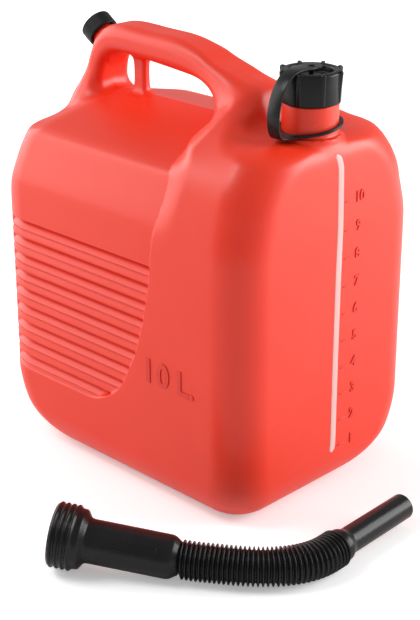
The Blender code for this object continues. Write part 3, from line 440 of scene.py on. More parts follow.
def net_quads(inside, number, axis):
    """Quads round the grid's edges along an axis that cross the surface, all facing outwards."""
    edge = np.argwhere(np.diff(inside, axis=axis))
    others = [place for place in range(3) if place != axis]
    within = (edge > 0) & (edge < np.array(inside.shape) - 1)
    edge = edge[within[:, others].all(1)]
    ring = []
    for du, dv in ((-1, -1), (0, -1), (0, 0), (-1, 0)):
        cell = edge.copy()
        cell[:, others[0]] += du
        cell[:, others[1]] += dv
        ring.append(number[tuple(cell.T)])
    quad = np.stack(ring, 1)
    leaving = inside[tuple(edge.T)]
    if axis == 1:
        leaving = ~leaving
    quad[~leaving] = quad[~leaving][:, ::-1]
    return quad


def surface_net(field, xs, ys, zs):
    """Quads over the zero surface of a field sampled on a grid."""
    grid = np.stack(np.meshgrid(xs, ys, zs, indexing="ij"), -1).reshape(-1, 3)
    values = np.concatenate([field(part) for part in np.array_split(grid, 24)])
    values = values.reshape(len(xs), len(ys), len(zs))
    inside = values < 0
    nx, ny, nz = (len(xs) - 1, len(ys) - 1, len(zs) - 1)
    total = sum(inside[i:nx + i, j:ny + j, k:nz + k].astype(np.int8) for i, j, k in CELL_CORNERS)
    active = (total > 0) & (total < 8)
    number = np.full(active.shape, -1)
    number[active] = np.arange(active.sum())
    spots = cell_spots(values, np.argwhere(active), (xs, ys, zs))
    return spots, np.concatenate([net_quads(inside, number, axis) for axis in range(3)])


def slope_of(field, points, step=0.06):
    """Slope of a field at points, by differences."""
    slopes = []
    for axis in range(3):
        shift = np.zeros(3)
        shift[axis] = step
        slopes.append((field(points + shift) - field(points - shift)) / (2 * step))
    return np.stack(slopes, 1)


def settle(field, points, quads, rounds):
    """Evens the net out, but for the grooves, and puts its points back on the surface."""
    edges = np.concatenate([quads[:, [index, (index + 1) % 4]] for index in range(4)])
    grooved = (np.abs(points[:, 1]) > 80.0) & (points[:, 2] > 50.0) & (points[:, 2] < 184.0)
    pull = np.where(grooved, 0.0, 0.35)[:, None]
    for index in range(rounds):
        if index < rounds - 1:
            total = np.zeros_like(points)
            count = np.zeros(len(points))
            for first, second in ((0, 1), (1, 0)):
                np.add.at(total, edges[:, first], points[edges[:, second]])
                np.add.at(count, edges[:, first], 1)
            points = points + pull * (total / count[:, None] - points)
        slope = slope_of(field, points)
        size = np.maximum((slope ** 2).sum(1), 0.05)
        move = -(field(points) / size)[:, None] * slope
        length = np.linalg.norm(move, axis=1)
        points = points + move * np.minimum(1.0, 1.5 / np.maximum(length, 1e-9))[:, None]
    slope = slope_of(field, points)
    return points, slope / np.linalg.norm(slope, axis=1)[:, None]


def add_object(name, mesh):
    """New object round a mesh or curve, in the scene."""
    obj = bpy.data.objects.new(name, mesh)
    bpy.context.scene.collection.objects.link(obj)
    return obj


def mesh_from(name, points, faces, normals=None):
    """Object from points in millimetres, shaded by its normals where they are given."""
    mesh = bpy.data.meshes.new(name)
    points = np.asarray(points, float) * MM
    mesh.vertices.add(len(points))
    mesh.vertices.foreach_set("co", points.astype(np.float32).ravel())
    faces = np.asarray(faces)
    mesh.loops.add(faces.size)
    mesh.loops.foreach_set("vertex_index", faces.ravel().astype(np.int32))
    mesh.polygons.add(len(faces))
    mesh.polygons.foreach_set("loop_start", np.arange(0, faces.size, faces.shape[1], dtype=np.int32))
    mesh.update(calc_edges=True)
    mesh.validate()
    mesh.shade_smooth()
    if normals is not None:
        mesh.normals_split_custom_set_from_vertices([tuple(normal) for normal in normals])
    return add_object(name, mesh)


def grid_faces(rows, columns, close_rows, close_columns):
    """Quads over a sheet of points laid out row by row."""
    faces = []
    for row in range(rows if close_rows else rows - 1):
        for column in range(columns if close_columns else columns - 1):
            a = row * columns + column
            b = row * columns + (column + 1) % columns
            after = (row + 1) % rows
            faces.append((a, b, after * columns + (column + 1) % columns, after * columns + column))
    return faces


def round_profile(profile, radius, steps=4):
    """Closed half-section of (r, h) with its corners rounded."""
    points = []
    count = len(profile)
    for index in range(count):
        here = np.array(profile[index][:2], float)
        before = np.array(profile[index - 1][:2], float)
        after = np.array(profile[(index + 1) % count][:2], float)
        reach = profile[index][2] if len(profile[index]) > 2 else radius
        back = before - here
        ahead = after - here
        limit = 0.48 * min(np.linalg.norm(back), np.linalg.norm(ahead))
        if here[0] == 0.0 or reach <= 0.0 or limit < 1e-6:
            points.append(here)
            continue
        span = min(reach, limit)
        first = here + back / np.linalg.norm(back) * span
        last = here + ahead / np.linalg.norm(ahead) * span
        for step in range(steps + 1):
            t = step / steps
            points.append((1 - t) ** 2 * first + 2 * t * (1 - t) * here + t ** 2 * last)
    return np.array(points)


def weld(obj):
    """Joins points that coincide and turns all faces outwards."""
    build = bmesh.new()
    build.from_mesh(obj.data)
    bmesh.ops.remove_doubles(build, verts=build.verts, dist=0.02 * MM)
    bmesh.ops.recalc_face_normals(build, faces=build.faces)
    build.to_mesh(obj.data)
    build.free()
    obj.data.shade_smooth()
    return obj


def lathe(name, profile, segments, matrix, bulge=None):
    """Turned body from a closed half-section; bulge moves its points outwards by angle."""
    angles = np.arange(segments) * 2 * pi / segments
    points = []
    for r, h in profile:
        radii = np.full(segments, r)
        if bulge is not None:
            radii = radii + bulge(angles, r, h)
        points.append(np.stack((radii * np.cos(angles), radii * np.sin(angles), np.full(segments, h)), 1))
    obj = mesh_from(name, np.concatenate(points), grid_faces(len(profile), segments, True, True))
    weld(obj)
    obj.data.transform(matrix)
    return obj


def set_inputs(node, values):
    """Sets inputs of a node by name."""
    for name, value in values.items():
        node.inputs[name].default_value = value


def noise_factor(tree, scale, detail=2.0, rough=0.5):
    """Noise on the object's own coordinates."""
    place = tree.nodes.new("ShaderNodeTexCoord")
    noise = tree.nodes.new("ShaderNodeTexNoise")
    set_inputs(noise, {"Scale": scale, "Detail": detail, "Roughness": rough})
    tree.links.new(place.outputs["Object"], noise.inputs["Vector"])
    return noise.outputs["Fac"]


def ramp(tree, factor, first, second):
    """Colour that drifts from the first to the second with a factor."""
    node = tree.nodes.new("ShaderNodeValToRGB")
    for element, position, colour in zip(node.color_ramp.elements, (0.3, 0.7), (first, second)):
        element.position = position
        element.color = (*colour, 1)
    tree.links.new(factor, node.inputs["Fac"])
    return node.outputs["Color"]


def spread(tree, factor, low, high, start=0.0, stop=1.0):
    """Value that goes from low to high as a factor goes from start to stop."""
    node = tree.nodes.new("ShaderNodeMapRange")
    set_inputs(node, {"From Min": start, "From Max": stop, "To Min": low, "To Max": high})
    tree.links.new(factor, node.inputs["Value"])
    return node.outputs["Result"]


# Height of the moulded grain
GRAIN_DEPTH = 0.2


def plastic(name, colours, rough, mottle, grain, bump, subsurface=0.0, coat=0.0, gloss=0.5):
    """Moulded plastic: a slow drift of colour, an uneven gloss and a fine moulded grain."""
    material = bpy.data.materials.new(name)
    material.use_nodes = True
    tree = material.node_tree
    shader = tree.nodes["Principled BSDF"]
    drift = noise_factor(tree, mottle)
    tree.links.new(ramp(tree, drift, *colours), shader.inputs["Base Color"])
    fine = noise_factor(tree, grain, 4.0, 0.6)
    tree.links.new(spread(tree, fine, *rough), shader.inputs["Roughness"])
    lift = tree.nodes.new("ShaderNodeBump")
    set_inputs(lift, {"Strength": bump, "Distance": GRAIN_DEPTH * MM})
    tree.links.new(fine, lift.inputs["Height"])
    tree.links.new(lift.outputs["Normal"], shader.inputs["Normal"])
    set_inputs(shader, {"Specular IOR Level": gloss})
    if subsurface:
        set_inputs(shader, {"Subsurface Weight": subsurface, "Subsurface Radius": (1.0, 0.25, 0.15),
                            "Subsurface Scale": 0.012})
    if coat:
        set_inputs(shader, {"Coat Weight": coat, "Coat Roughness": 0.32})
    material.diffuse_color = (*colours[0], 1)
    return material


def dress(obj, material):
    """Gives an object its material."""
    obj.data.materials.clear()
    obj.data.materials.append(material)


RED = plastic("red_polyethylene", ((0.81, 0.029, 0.006), (0.85, 0.036, 0.009)), rough=(0.36, 0.44),
              mottle=9.0, grain=900.0, bump=0.10, subsurface=0.12, coat=0.16, gloss=0.44)
# The figures and ticks are the tank's own red, painted darker for the shade their raised strokes cast.
PAINTED_SHADE_RED = plastic("red_figures_painted_shade", ((0.68, 0.020, 0.007), (0.73, 0.026, 0.010)), rough=(0.36, 0.46),
               mottle=20.0, grain=1200.0, bump=0.10)
PINK = plastic("clear_stripe", ((0.93, 0.42, 0.40), (0.96, 0.50, 0.47)), rough=(0.24, 0.34),
               mottle=14.0, grain=700.0, bump=0.06, subsurface=0.2)
BLACK = plastic("black_polyethylene", ((0.006, 0.006, 0.0065), (0.011, 0.011, 0.0115)), rough=(0.20, 0.32),
                mottle=30.0, grain=1400.0, bump=0.15, gloss=0.24)
SOFT = plastic("tether_elastomer", ((0.008, 0.008, 0.008), (0.013, 0.0125, 0.0125)), rough=(0.22, 0.34),
               mottle=40.0, grain=1600.0, bump=0.12, gloss=0.24)
SEAL = plastic("seal_foam", ((0.22, 0.22, 0.22), (0.34, 0.34, 0.33)), rough=(0.7, 0.85),
               mottle=60.0, grain=2500.0, bump=0.5)


# The tank's grid: where each stretch ends and its spacing, and a groove's own lines as shares of the pitch
TANK_X = (-130.5, (-104, 1.25), (-52, 1.9), (-24, 2.4), (54, 1.35), (130.5, 2))
TANK_Y = (0, (27, 1.5), (78, 2.7), (96.5, 1.7))
GROOVE_LINES = (0.015, 0.04, 0.065, 0.135, 0.17, 0.25, 0.34, 0.43, 0.487, 0.51, 0.55, 0.61, 0.74, 0.88, 0.975)
# keeps the grid's lines off the planes of symmetry
GRID_SHIFT = (0.013, 0.017)


def make_tank():
    """The red moulding, with its panels, grooves and necks."""
    half = steps_between(*TANK_Y)
    ys = np.concatenate((-half[:0:-1], half))
    lines = GROOVE_TOP - GROOVE_PITCH * (np.arange(GROOVES)[:, None] + GROOVE_LINES).ravel()
    lines = np.append(np.sort(lines), GROOVE_TOP + GROOVE_PITCH * 0.02)
    below = steps_between(-2.0, (33.0, 2.4), (lines[0], 2.2))
    above = steps_between(lines[-1], (SIDE_TOP, 2.0), (262.0, 1.8), (321.0, 1.5))
    zs = np.concatenate((below[:-1], lines, above[1:]))
    points, quads = surface_net(tank_field, steps_between(*TANK_X) + GRID_SHIFT[0], ys + GRID_SHIFT[1], zs)
    points, normals = settle(tank_field, points, quads, 5)
    tank = mesh_from("tank", points, quads, normals)
    dress(tank, RED)
    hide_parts("tank_shell")
    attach(tank, "tank")


def wall_x(y, z):
    """Where the scaled end wall stands."""
    probe = np.linspace(112.0, 130.0, 181)
    values = tank_field(np.stack((probe, np.full_like(probe, y), np.full_like(probe, z)), 1))
    return float(np.interp(0.0, values, probe))


def from_curve(name, curve):
    """Object with the mesh of a curve or text drawn in millimetres."""
    source = add_object(name + "_curve", curve)
    graph = bpy.context.evaluated_depsgraph_get()
    mesh = bpy.data.meshes.new_from_object(source.evaluated_get(graph))
    bpy.data.objects.remove(source)
    mesh.name = name
    mesh.transform(Matrix.Scale(MM, 4))
    mesh.shade_smooth()
    return add_object(name, mesh)


def lettering(text, size, raise_by, place, turn):
    """Raised figures, turned and with their middle at place."""
    curve = bpy.data.curves.new("figure", "FONT")
    curve.body = text
    curve.size = size
    curve.extrude = raise_by
    curve.bevel_depth = raise_by * 0.45
    curve.bevel_resolution = 2
    curve.align_x = "CENTER"
    curve.align_y = "CENTER"
    curve.offset = 0.02 * size
    obj = from_curve("figure", curve)
    obj.data.transform(Matrix.Translation(Vector(place) * MM) @ turn)
    return obj


def join(name, objects, sharp):
    """One object out of several meshes, with edges above an angle left sharp."""
    build = bmesh.new()
    for obj in objects:
        build.from_mesh(obj.data)
        bpy.data.objects.remove(obj)
    mesh = bpy.data.meshes.new(name)
    build.to_mesh(mesh)
    build.free()
    mesh.set_sharp_from_angle(angle=sharp)
    return add_object(name, mesh)


def make_tick(low, high, edge):
    """Bar between two corners, with its edges bevelled."""
    mesh = bpy.data.meshes.new("tick")
    build = bmesh.new()
    bmesh.ops.create_cube(build, size=1.0)
    low, high = Vector(low) * MM, Vector(high) * MM
    bmesh.ops.scale(build, vec=high - low, verts=build.verts)
    bmesh.ops.translate(build, vec=(low + high) / 2, verts=build.verts)
    bmesh.ops.bevel(build, geom=build.edges, offset=edge * MM, segments=3, affect="EDGES", profile=0.5)
    build.to_mesh(mesh)
    build.free()
    mesh.shade_smooth()
    return add_object("tick", mesh)


# The litre scale: height of the first mark, spacing, the ticks' reach and the figures' y
FIRST_LITRE = 36.4
LITRE_PITCH = 20.83
TICK_Y = (9.2, 16.6)
TICK_HALF = 0.55
FIGURE_Y = 24.0
WIDE_FIGURE_Y = 25.0
FIGURE_SIZE = 10.5

# The capacity mark: letters with their x
CAPACITY = (("1", 39.0), ("0", 53.8), ("L.", 76.0))
CAPACITY_HEIGHT = 102.0
CAPACITY_SIZE = 25.0
LETTER_SHARP = radians(35.0)


def make_marks():
    """The litre scale on the end wall and the capacity mark on the side."""
    on_side = Matrix.Rotation(pi / 2, 4, "X")
    on_end = Matrix.Rotation(pi / 2, 4, "Z") @ on_side
    pieces = []
    for litre in range(1, 11):
        height = FIRST_LITRE + (litre - 1) * LITRE_PITCH
        face = wall_x(20.0, height)
        pieces.append(make_tick((face - 0.5, TICK_Y[0], height - TICK_HALF),
                                (face + 0.5, TICK_Y[1], height + TICK_HALF), 0.35))
        place = (face, FIGURE_Y if litre < 10 else WIDE_FIGURE_Y, height + 1.0)
        pieces.append(lettering(str(litre), FIGURE_SIZE, 0.45, place, on_end))
    letters = [lettering(letter, CAPACITY_SIZE, 0.5, (x, -HALF_WIDTH, CAPACITY_HEIGHT), on_side)
               for letter, x in CAPACITY]
    # Ticks and figures take the darker red, which paints the shade of their raised strokes.
    for name, objects in (("litre_scale", pieces), ("capacity_mark", letters)):
        obj = join(name, objects, LETTER_SHARP)
        dress(obj, PAINTED_SHADE_RED)
        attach(obj, "tank")


# The stripe: its ends, its middle's y by height, its half-width, and its section as share and lift
STRIPE_ENDS = (33.0, 260.0)
STRIPE_TABLE = ((33, 2.8), (40, 3.9), (114, 3.6), (172, 3.8), (240, 4.7), (250, 4.5),
                (256, 3), (260, 0.6))
STRIPE_HALF = 3.0
STRIPE_SECTION = ((-1, -0.6), (-0.97, 0.08), (-0.8, 0.28), (0, 0.36), (0.8, 0.28), (0.97, 0.08),
                  (1, -0.6))
STRIPE_STEPS = 120


def make_stripe():
    """The see-through stripe, a little proud of the end wall and round at its ends."""
    low, high = STRIPE_ENDS
    points = []
    for z in low + (high - low) * np.arange(STRIPE_STEPS + 1) / STRIPE_STEPS:
        centre = float(np.interp(z, *np.transpose(STRIPE_TABLE)))
        face = wall_x(centre, z)
        short = max(0.0, 1 - min(z - low, high - z) / STRIPE_HALF)
        half = STRIPE_HALF * (1 - short ** 2) ** 0.5 + 0.05
        points += [(face + lift, centre + share * half, z) for share, lift in STRIPE_SECTION]
    faces = grid_faces(STRIPE_STEPS + 1, len(STRIPE_SECTION), False, True)
    stripe = weld(mesh_from("stripe", points, faces))
    dress(stripe, PINK)
    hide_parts("view_stripe")
    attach(stripe, "tank")


# The filler cap: its foot's height, the grip ribs and the lugs that end them
CAP_FOOT = 292.8
CAP_TURN = radians(18.5)
GRIPS = 8
GRIP_RADIUS = 21.0
GRIP_HALF = 1.15
GRIP_FROM = 19.5
LUG_FROM = (19.6, 18.0)
LUG_RISE = 0.8
CAP_PROFILE = ((0, 18.2), (7, 18.2, 0.6), (7, 16.4, 0.8), (14.6, 16.2, 0.8), (15.3, 21.2, 0.9),
               (17.6, 22, 1.2), (20.9, 21.2, 1.3), (20.7, 0, 0.5), (19.4, 0, 0.3), (19.2, 14, 0.5),
               (0, 14))
PEG_PROFILE = ((0, 25), (2.9, 24.9, 0.6), (3.3, 24.1, 0.3), (1.9, 24, 0.2), (1.9, 18, 0.1),
               (0, 18))
ON_NECK = Matrix.Translation(Vector((NECK_X, 0.0, CAP_FOOT)) * MM)


def grip_shape(angle):
    """One where a grip rib stands, zero between the ribs."""
    turn = ((angle - CAP_TURN) / (2 * pi) * GRIPS + 0.5) % 1.0 - 0.5
    along = turn * 2 * pi / GRIPS * GRIP_RADIUS
    return np.clip(1.5 - (np.abs(along) / GRIP_HALF) ** 3, 0.0, 1.0)


def raise_lugs(mesh):
    """Lifts the rim where a grip rib meets it."""
    inner, low = LUG_FROM
    for vertex in mesh.vertices:
        x, y, z = vertex.co / MM
        reach = float(np.hypot(x, y))
        if reach > inner and z > low:
            lug = float(grip_shape(np.arctan2(y, x))) * min((reach - inner) / 0.8, 1.0)
            vertex.co.z += LUG_RISE * MM * lug * min((z - low) / 2.0, 1.0)


def make_filler_cap():
    """Ribbed cap with a raised rim, and the peg that holds the eyelet."""
    def grips(angles, r, h):
        if r < GRIP_FROM:
            return np.zeros_like(angles)
        lift = 0.9 + 1.0 * np.clip((h - 2.0) / 17.0, 0.0, 1.0)
        return lift * grip_shape(angles) * np.clip((h + 0.2) / 1.2, 0.0, 1.0)

    cap = lathe("filler_cap_body", round_profile(CAP_PROFILE, 0.5), 240, Matrix.Identity(4), grips)
    raise_lugs(cap.data)
    cap.data.transform(ON_NECK)
    dress(cap, BLACK)
    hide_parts("filler_cap")
    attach(cap, "cap")
    peg = lathe("filler_cap_peg", round_profile(PEG_PROFILE, 0.3), 32, ON_NECK)
    dress(peg, BLACK)
    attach(peg, "cap")


def ribbon(name, centres, widths, sides, ups, thickness, rounding):
    """Flat strap along a line: a rounded rectangle at every station, closed at both ends."""
    half = thickness / 2
    shape = []
    for corner_x, corner_y, start in ((1, -1, -pi / 2), (1, 1, 0.0), (-1, 1, pi / 2), (-1, -1, pi)):
        for step in range(4):
            angle = start + pi / 2 * step / 3
            shape.append((corner_x, corner_y, cos(angle), sin(angle)))
    points = []
    for centre, width, side, up in zip(centres, widths, sides, ups):
        for sx, sy, dx, dy in shape:
            along_side = sx * (width / 2 - rounding) + dx * rounding
            along_up = sy * (half - rounding) + dy * rounding
            points.append(np.array(centre) + np.array(side) * along_side + np.array(up) * along_up)
    count = len(shape)
    obj = mesh_from(name, points, grid_faces(len(centres), count, False, True))
    build = bmesh.new()
    build.from_mesh(obj.data)
    build.verts.ensure_lookup_table()
    build.faces.new([build.verts[index] for index in range(count)])
    build.faces.new([build.verts[index] for index in reversed(range(len(points) - count, len(points)))])
    bmesh.ops.recalc_face_normals(build, faces=build.faces)
    build.to_mesh(obj.data)
    build.free()
    obj.data.shade_smooth()
    return obj


# The tether: the ring's section, place and tilt, and the strap's y, z and width
RING_RADIUS = 21.35
RING_WIDTH = 2.9
RING_THICKNESS = 2.0
RING_LOW = 272.0
RING_RISE = 6.6
STRAP_THICKNESS = 1.7
STRAP_TABLE = ((-21.6, 272.4, 17), (-26, 272.5, 13.4), (-30.2, 272.6, 11.2), (-33.2, 273.4, 10.6),
               (-35.6, 276.6, 10.5), (-36.9, 282, 10.5), (-36.9, 290, 10.5), (-34.9, 299, 10.5),
               (-31, 307, 10.5), (-25.6, 312.6, 10.5), (-19, 315.6, 10.6), (-12.5, 316.2, 11.6),
               (-7, 316.1, 13.6), (-2.2, 316, 14.6))
EYELET_PROFILE = ((7.4, 24.1, 0.4), (7.4, 22.4, 0.4), (2.5, 22.4, 0.3), (2.5, 24.1, 0.3))
TETHER_SHARP = radians(50.0)


def ring_height(x, y):
    """The ring sits tilted on the neck, low at its tab and high at the far right."""
    share = ((x - NECK_X) * 0.35 + (y + 30.0) * 0.94) / 47.5
    return RING_LOW + RING_RISE * max(share, 0.0) ** 1.3


def make_ring():
    """The ring round the neck, from its tab and back to it."""
    outward = [(cos(angle), sin(angle), 0.0) for angle in np.arange(97) / 96 * 2 * pi - pi / 2]
    centres = []
    for side in outward:
        x, y = NECK_X + RING_RADIUS * side[0], RING_RADIUS * side[1]
        centres.append((x, y, ring_height(x, y)))
    count = len(centres)
    return ribbon("ring", centres, [RING_WIDTH] * count, outward, [(0, 0, 1)] * count, RING_THICKNESS, 0.6)


def make_strap():
    """The strap, from the ring's tab up and over to the eyelet."""
    route = smooth_rows(STRAP_TABLE, 6)
    count = len(route)
    spots = np.column_stack((np.full(count, NECK_X), route[:, 0], route[:, 1]))
    run = np.gradient(spots, axis=0)
    ups = np.cross((-1.0, 0.0, 0.0), run / np.linalg.norm(run, axis=1)[:, None])
    return ribbon("strap", spots, route[:, 2], [(1.0, 0.0, 0.0)] * count, ups, STRAP_THICKNESS, 0.55)


def make_tether():
    """Ring, strap and eyelet, moulded in one."""
    eyelet = lathe("eyelet", round_profile(EYELET_PROFILE, 0.4), 64, ON_NECK)
    tether = join("tether", [make_ring(), make_strap(), eyelet], TETHER_SHARP)
    dress(tether, SOFT)
    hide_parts("tether_ring", "tether_strap", "tether_eyelet")
    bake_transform(tether)


# The vent cap, with its knurled band as a range of heights
KNURLS = 60
KNURL_FROM = 12.0
KNURL_BAND = (10.2, 19.2)
VENT_PROFILE = ((0, 21.4), (9, 21.4, 1), (10.8, 21.3, 0.8), (12.5, 20.2, 0.8), (12.5, 19.2, 0.2),
                (12.5, 18.9, 0.1), (12.5, 15, 0.1), (12.5, 10.6, 0.1), (12.5, 10.2, 0.1), (12.4, 8.8, 0.5),
                (10.7, 8.8, 0.3), (10.7, 19.2, 0.3), (0, 19.2))


def make_vent_cap():
    """Small knurled cap on the vent neck."""
    def knurl(angles, r, h):
        if r < KNURL_FROM or not KNURL_BAND[0] <= h <= KNURL_BAND[1]:
            return np.zeros_like(angles)
        return -0.28 * np.clip(np.cos(angles * KNURLS) * 1.3, 0.0, 1.0)

    matrix = Matrix.Translation(Vector(VENT_FOOT) * MM) @ Matrix.Rotation(-VENT_LEAN, 4, "Y")
    cap = lathe("vent_cap_body", round_profile(VENT_PROFILE, 0.4), 240, matrix, knurl)
    dress(cap, BLACK)
    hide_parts("vent_cap")
    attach(cap, "vent")


# The spout: where its collar lies and how it tilts, so that collar and tube both touch the floor
SPOUT_FOOT = (59.0, -202.8)
SPOUT_HEADING = radians(33.9)
COLLAR_RADIUS = 22.5
TUBE_RADIUS = 15.0
TUBE_END = 81.0
RIDGES = 4
RIDGE_PITCH = 4.0
LAST_CREST = 3.6 * RIDGES
SPOUT_TILT = asin((COLLAR_RADIUS - TUBE_RADIUS) / (TUBE_END - LAST_CREST))
FLOOR_GAP = 0.2
RIDGE_SECTION = ((21.2, 0.2, 0.3), (22.45, 1.1, 0.5), (22.45, 2.1, 0.5), (21.2, 3.1, 0.4))
TUBE_PROFILE = ((20.6, 16.6, 0.4), (20.3, 20, 0.8), (15.6, 23.2, 1.8), (15.1, 26, 1), (15, 80, 1.6),
                (14.2, 82.4, 0.6), (11, 87.2, 0.4), (9.2, 87.4, 0.2), (13.1, 81, 0.5), (13.1, 18, 0.4),
                (19, 18, 0.4))

# The raised outline on the tube
OUTLINE_ENDS = (30.0, 72.0)
OUTLINE_HALF = 3.2
OUTLINE_ANGLE = radians(-125.0)
OUTLINE_RADIUS = 0.35
OUTLINE_STEPS = 12

# The hose: it leaves the cone, comes down to the floor, and bends over a part of its length
HOSE_START = 87.8
HOSE_LENGTH = 113.0
HOSE_REST = 13.4 + FLOOR_GAP
HOSE_SINK = 15.0
HOSE_STRAIGHT = 21.0
HOSE_BENT = 82.0
HOSE_TURN = radians(58.0)
HOSE_WALK = 144
HOSE_RIBS = 36
HOSE_BORE = 9.1
HOSE_SEGMENTS = 56
RIB_SECTION = ((0, 10.9), (0.16, 11), (0.3, 12.5), (0.4, 13.25), (0.5, 13.4), (0.6, 13.25),
               (0.7, 12.5), (0.84, 11))
NOZZLE_GAP = 0.3
NOZZLE_PROFILE = ((9.2, 0, 0.2), (11.6, 0, 0.5), (11.7, 4.6, 1.2), (9.6, 9.4, 1.6), (9.4, 12, 0.5),
                  (9.3, 74.8, 0.5), (7.7, 74.8, 0.4), (7.7, 9.6, 0.4))


def spout_matrix():
    """Where the collar's mouth lies, its axis along the spout."""
    height = COLLAR_RADIUS * cos(SPOUT_TILT) + LAST_CREST * sin(SPOUT_TILT) + FLOOR_GAP
    heading = Matrix.Rotation(SPOUT_HEADING, 4, "Z")
    lean = Matrix.Rotation(pi / 2 + SPOUT_TILT, 4, "Y")
    return Matrix.Translation(Vector((*SPOUT_FOOT, height)) * MM) @ heading @ lean


def make_spout_base():
    """Collar with its ridges, tube and cone."""
    profile = [(19.0, 0.0, 0.3), (21.3, 0.0, 0.4)]
    for index in range(RIDGES):
        start = 0.4 + RIDGE_PITCH * index
        profile += [(r, start + h, edge) for r, h, edge in RIDGE_SECTION]
    profile += TUBE_PROFILE
    base = lathe("spout_base_body", round_profile(profile, 0.4, 3), 128, spout_matrix())
    dress(base, BLACK)
    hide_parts("spout_base")
    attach(base, "spout")


def make_spout_line():
    """The raised outline of a bare panel along the tube."""
    (start, stop), half = OUTLINE_ENDS, OUTLINE_HALF
    route = ((start, -half), (stop, -half), (stop, half), (start, half))
    points = []
    for index, (h, arc) in enumerate(route):
        next_h, next_arc = route[(index + 1) % 4]
        for step in range(OUTLINE_STEPS):
            t = step / OUTLINE_STEPS
            angle = (arc + (next_arc - arc) * t) / TUBE_RADIUS + OUTLINE_ANGLE
            reach = TUBE_RADIUS + 0.05
            points.append((reach * cos(angle), reach * sin(angle), h + (next_h - h) * t, 1.0))
    curve = bpy.data.curves.new("spout_line", "CURVE")
    curve.dimensions = "3D"
    curve.bevel_depth = OUTLINE_RADIUS
    curve.bevel_resolution = 2
    spline = curve.splines.new("POLY")
    spline.points.add(len(points) - 1)
    for target, point in zip(spline.points, points):
        target.co = point
    spline.use_cyclic_u = True
    line = from_curve("spout_line", curve)
    line.data.transform(spout_matrix())
    dress(line, BLACK)
    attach(line, "spout")


def hose_heading(length):
    """Which way the hose heads after a length of it."""
    share = min(max((length - HOSE_STRAIGHT) / HOSE_BENT, 0.0), 1.0)
    return SPOUT_HEADING + HOSE_TURN * share ** 2


def hose_route(stations):
    """The hose's middle at each station: x, y, z and heading."""
    start = spout_matrix() @ (Vector((0.0, 0.0, HOSE_START)) * MM) / MM
    drop = max(start.z - HOSE_REST, 0.0)
    x, y, walked = start.x, start.y, 0.0
    step = HOSE_LENGTH / HOSE_WALK
    route = []
    for station in stations:
        while walked < station - step / 2:
            heading = hose_heading(walked + step / 2)
            x += step * cos(heading)
            y += step * sin(heading)
            walked += step
        heading = hose_heading(station)
        late = station - walked
        height = HOSE_REST + drop * max(1.0 - station / HOSE_SINK, 0.0) ** 2
        route.append((x + late * cos(heading), y + late * sin(heading), height, heading))
    return route


def make_hose():
    """Ribbed hose with its bore. Returns its far end."""
    outline = [(HOSE_LENGTH * (rib + share) / HOSE_RIBS, radius)
               for rib in range(HOSE_RIBS) for share, radius in RIB_SECTION]
    outline.append((HOSE_LENGTH, RIB_SECTION[0][1]))
    route = hose_route([station for station, _ in outline])
    sections = [(spot, radius) for spot, (_, radius) in zip(route, outline)]
    sections += [(spot, HOSE_BORE) for spot in reversed(route[::len(RIB_SECTION)])]
    points = []
    for (x, y, z, heading), radius in sections:
        for index in range(HOSE_SEGMENTS):
            angle = 2 * pi * index / HOSE_SEGMENTS
            side = radius * cos(angle)
            points.append((x - side * sin(heading), y + side * cos(heading), z + radius * sin(angle)))
    hose = weld(mesh_from("hose", points, grid_faces(len(sections), HOSE_SEGMENTS, True, True)))
    dress(hose, BLACK)
    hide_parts("spout_hose")
    start, end = route[0], route[-1]
    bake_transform(hose)
    return end


def make_nozzle(end):
    """Plain tube that goes on from the hose's far end."""
    x, y, z, heading = end
    place = Vector((x + NOZZLE_GAP * cos(heading), y + NOZZLE_GAP * sin(heading), z)) * MM
    matrix = Matrix.Translation(place) @ Matrix.Rotation(heading, 4, "Z") @ Matrix.Rotation(pi / 2, 4, "Y")
    nozzle = lathe("nozzle_body", round_profile(NOZZLE_PROFILE, 0.4), 96, matrix)
    dress(nozzle, BLACK)
    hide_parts("spout_nozzle")
    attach(nozzle, "nozzle")


def keep_seals():
    """The gaskets stay as their solids, in a better material."""
    for name in ("filler_cap_gasket", "vent_cap_gasket", "spout_gasket"):
        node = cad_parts[name]
        node.data.materials.clear()
        node.data.materials.append(SEAL)


# The floor in metres, its glow near the can and far off, where that rises, and the world's light
FLOOR_HALF = 30.0
FLOOR_DROP = 0.0002
FLOOR_GLOW = (0.32, 1.0)
FLOOR_RISE = (0.6, 2.4)
WORLD_LIGHT = 0.40


def camera_glow(tree):
    """Glow that only the camera sees, so that the floor ends in white."""
    path = tree.nodes.new("ShaderNodeLightPath")
    glow = tree.nodes.new("ShaderNodeEmission")
    place = tree.nodes.new("ShaderNodeTexCoord")
    away = tree.nodes.new("ShaderNodeVectorMath")
    away.operation = "LENGTH"
    tree.links.new(place.outputs["Object"], away.inputs[0])
    rise = spread(tree, away.outputs["Value"], *FLOOR_GLOW, *FLOOR_RISE)
    strength = tree.nodes.new("ShaderNodeMath")
    strength.operation = "MULTIPLY"
    tree.links.new(path.outputs["Is Camera Ray"], strength.inputs[0])
    tree.links.new(rise, strength.inputs[1])
    tree.links.new(strength.outputs[0], glow.inputs["Strength"])
    return glow.outputs[0]


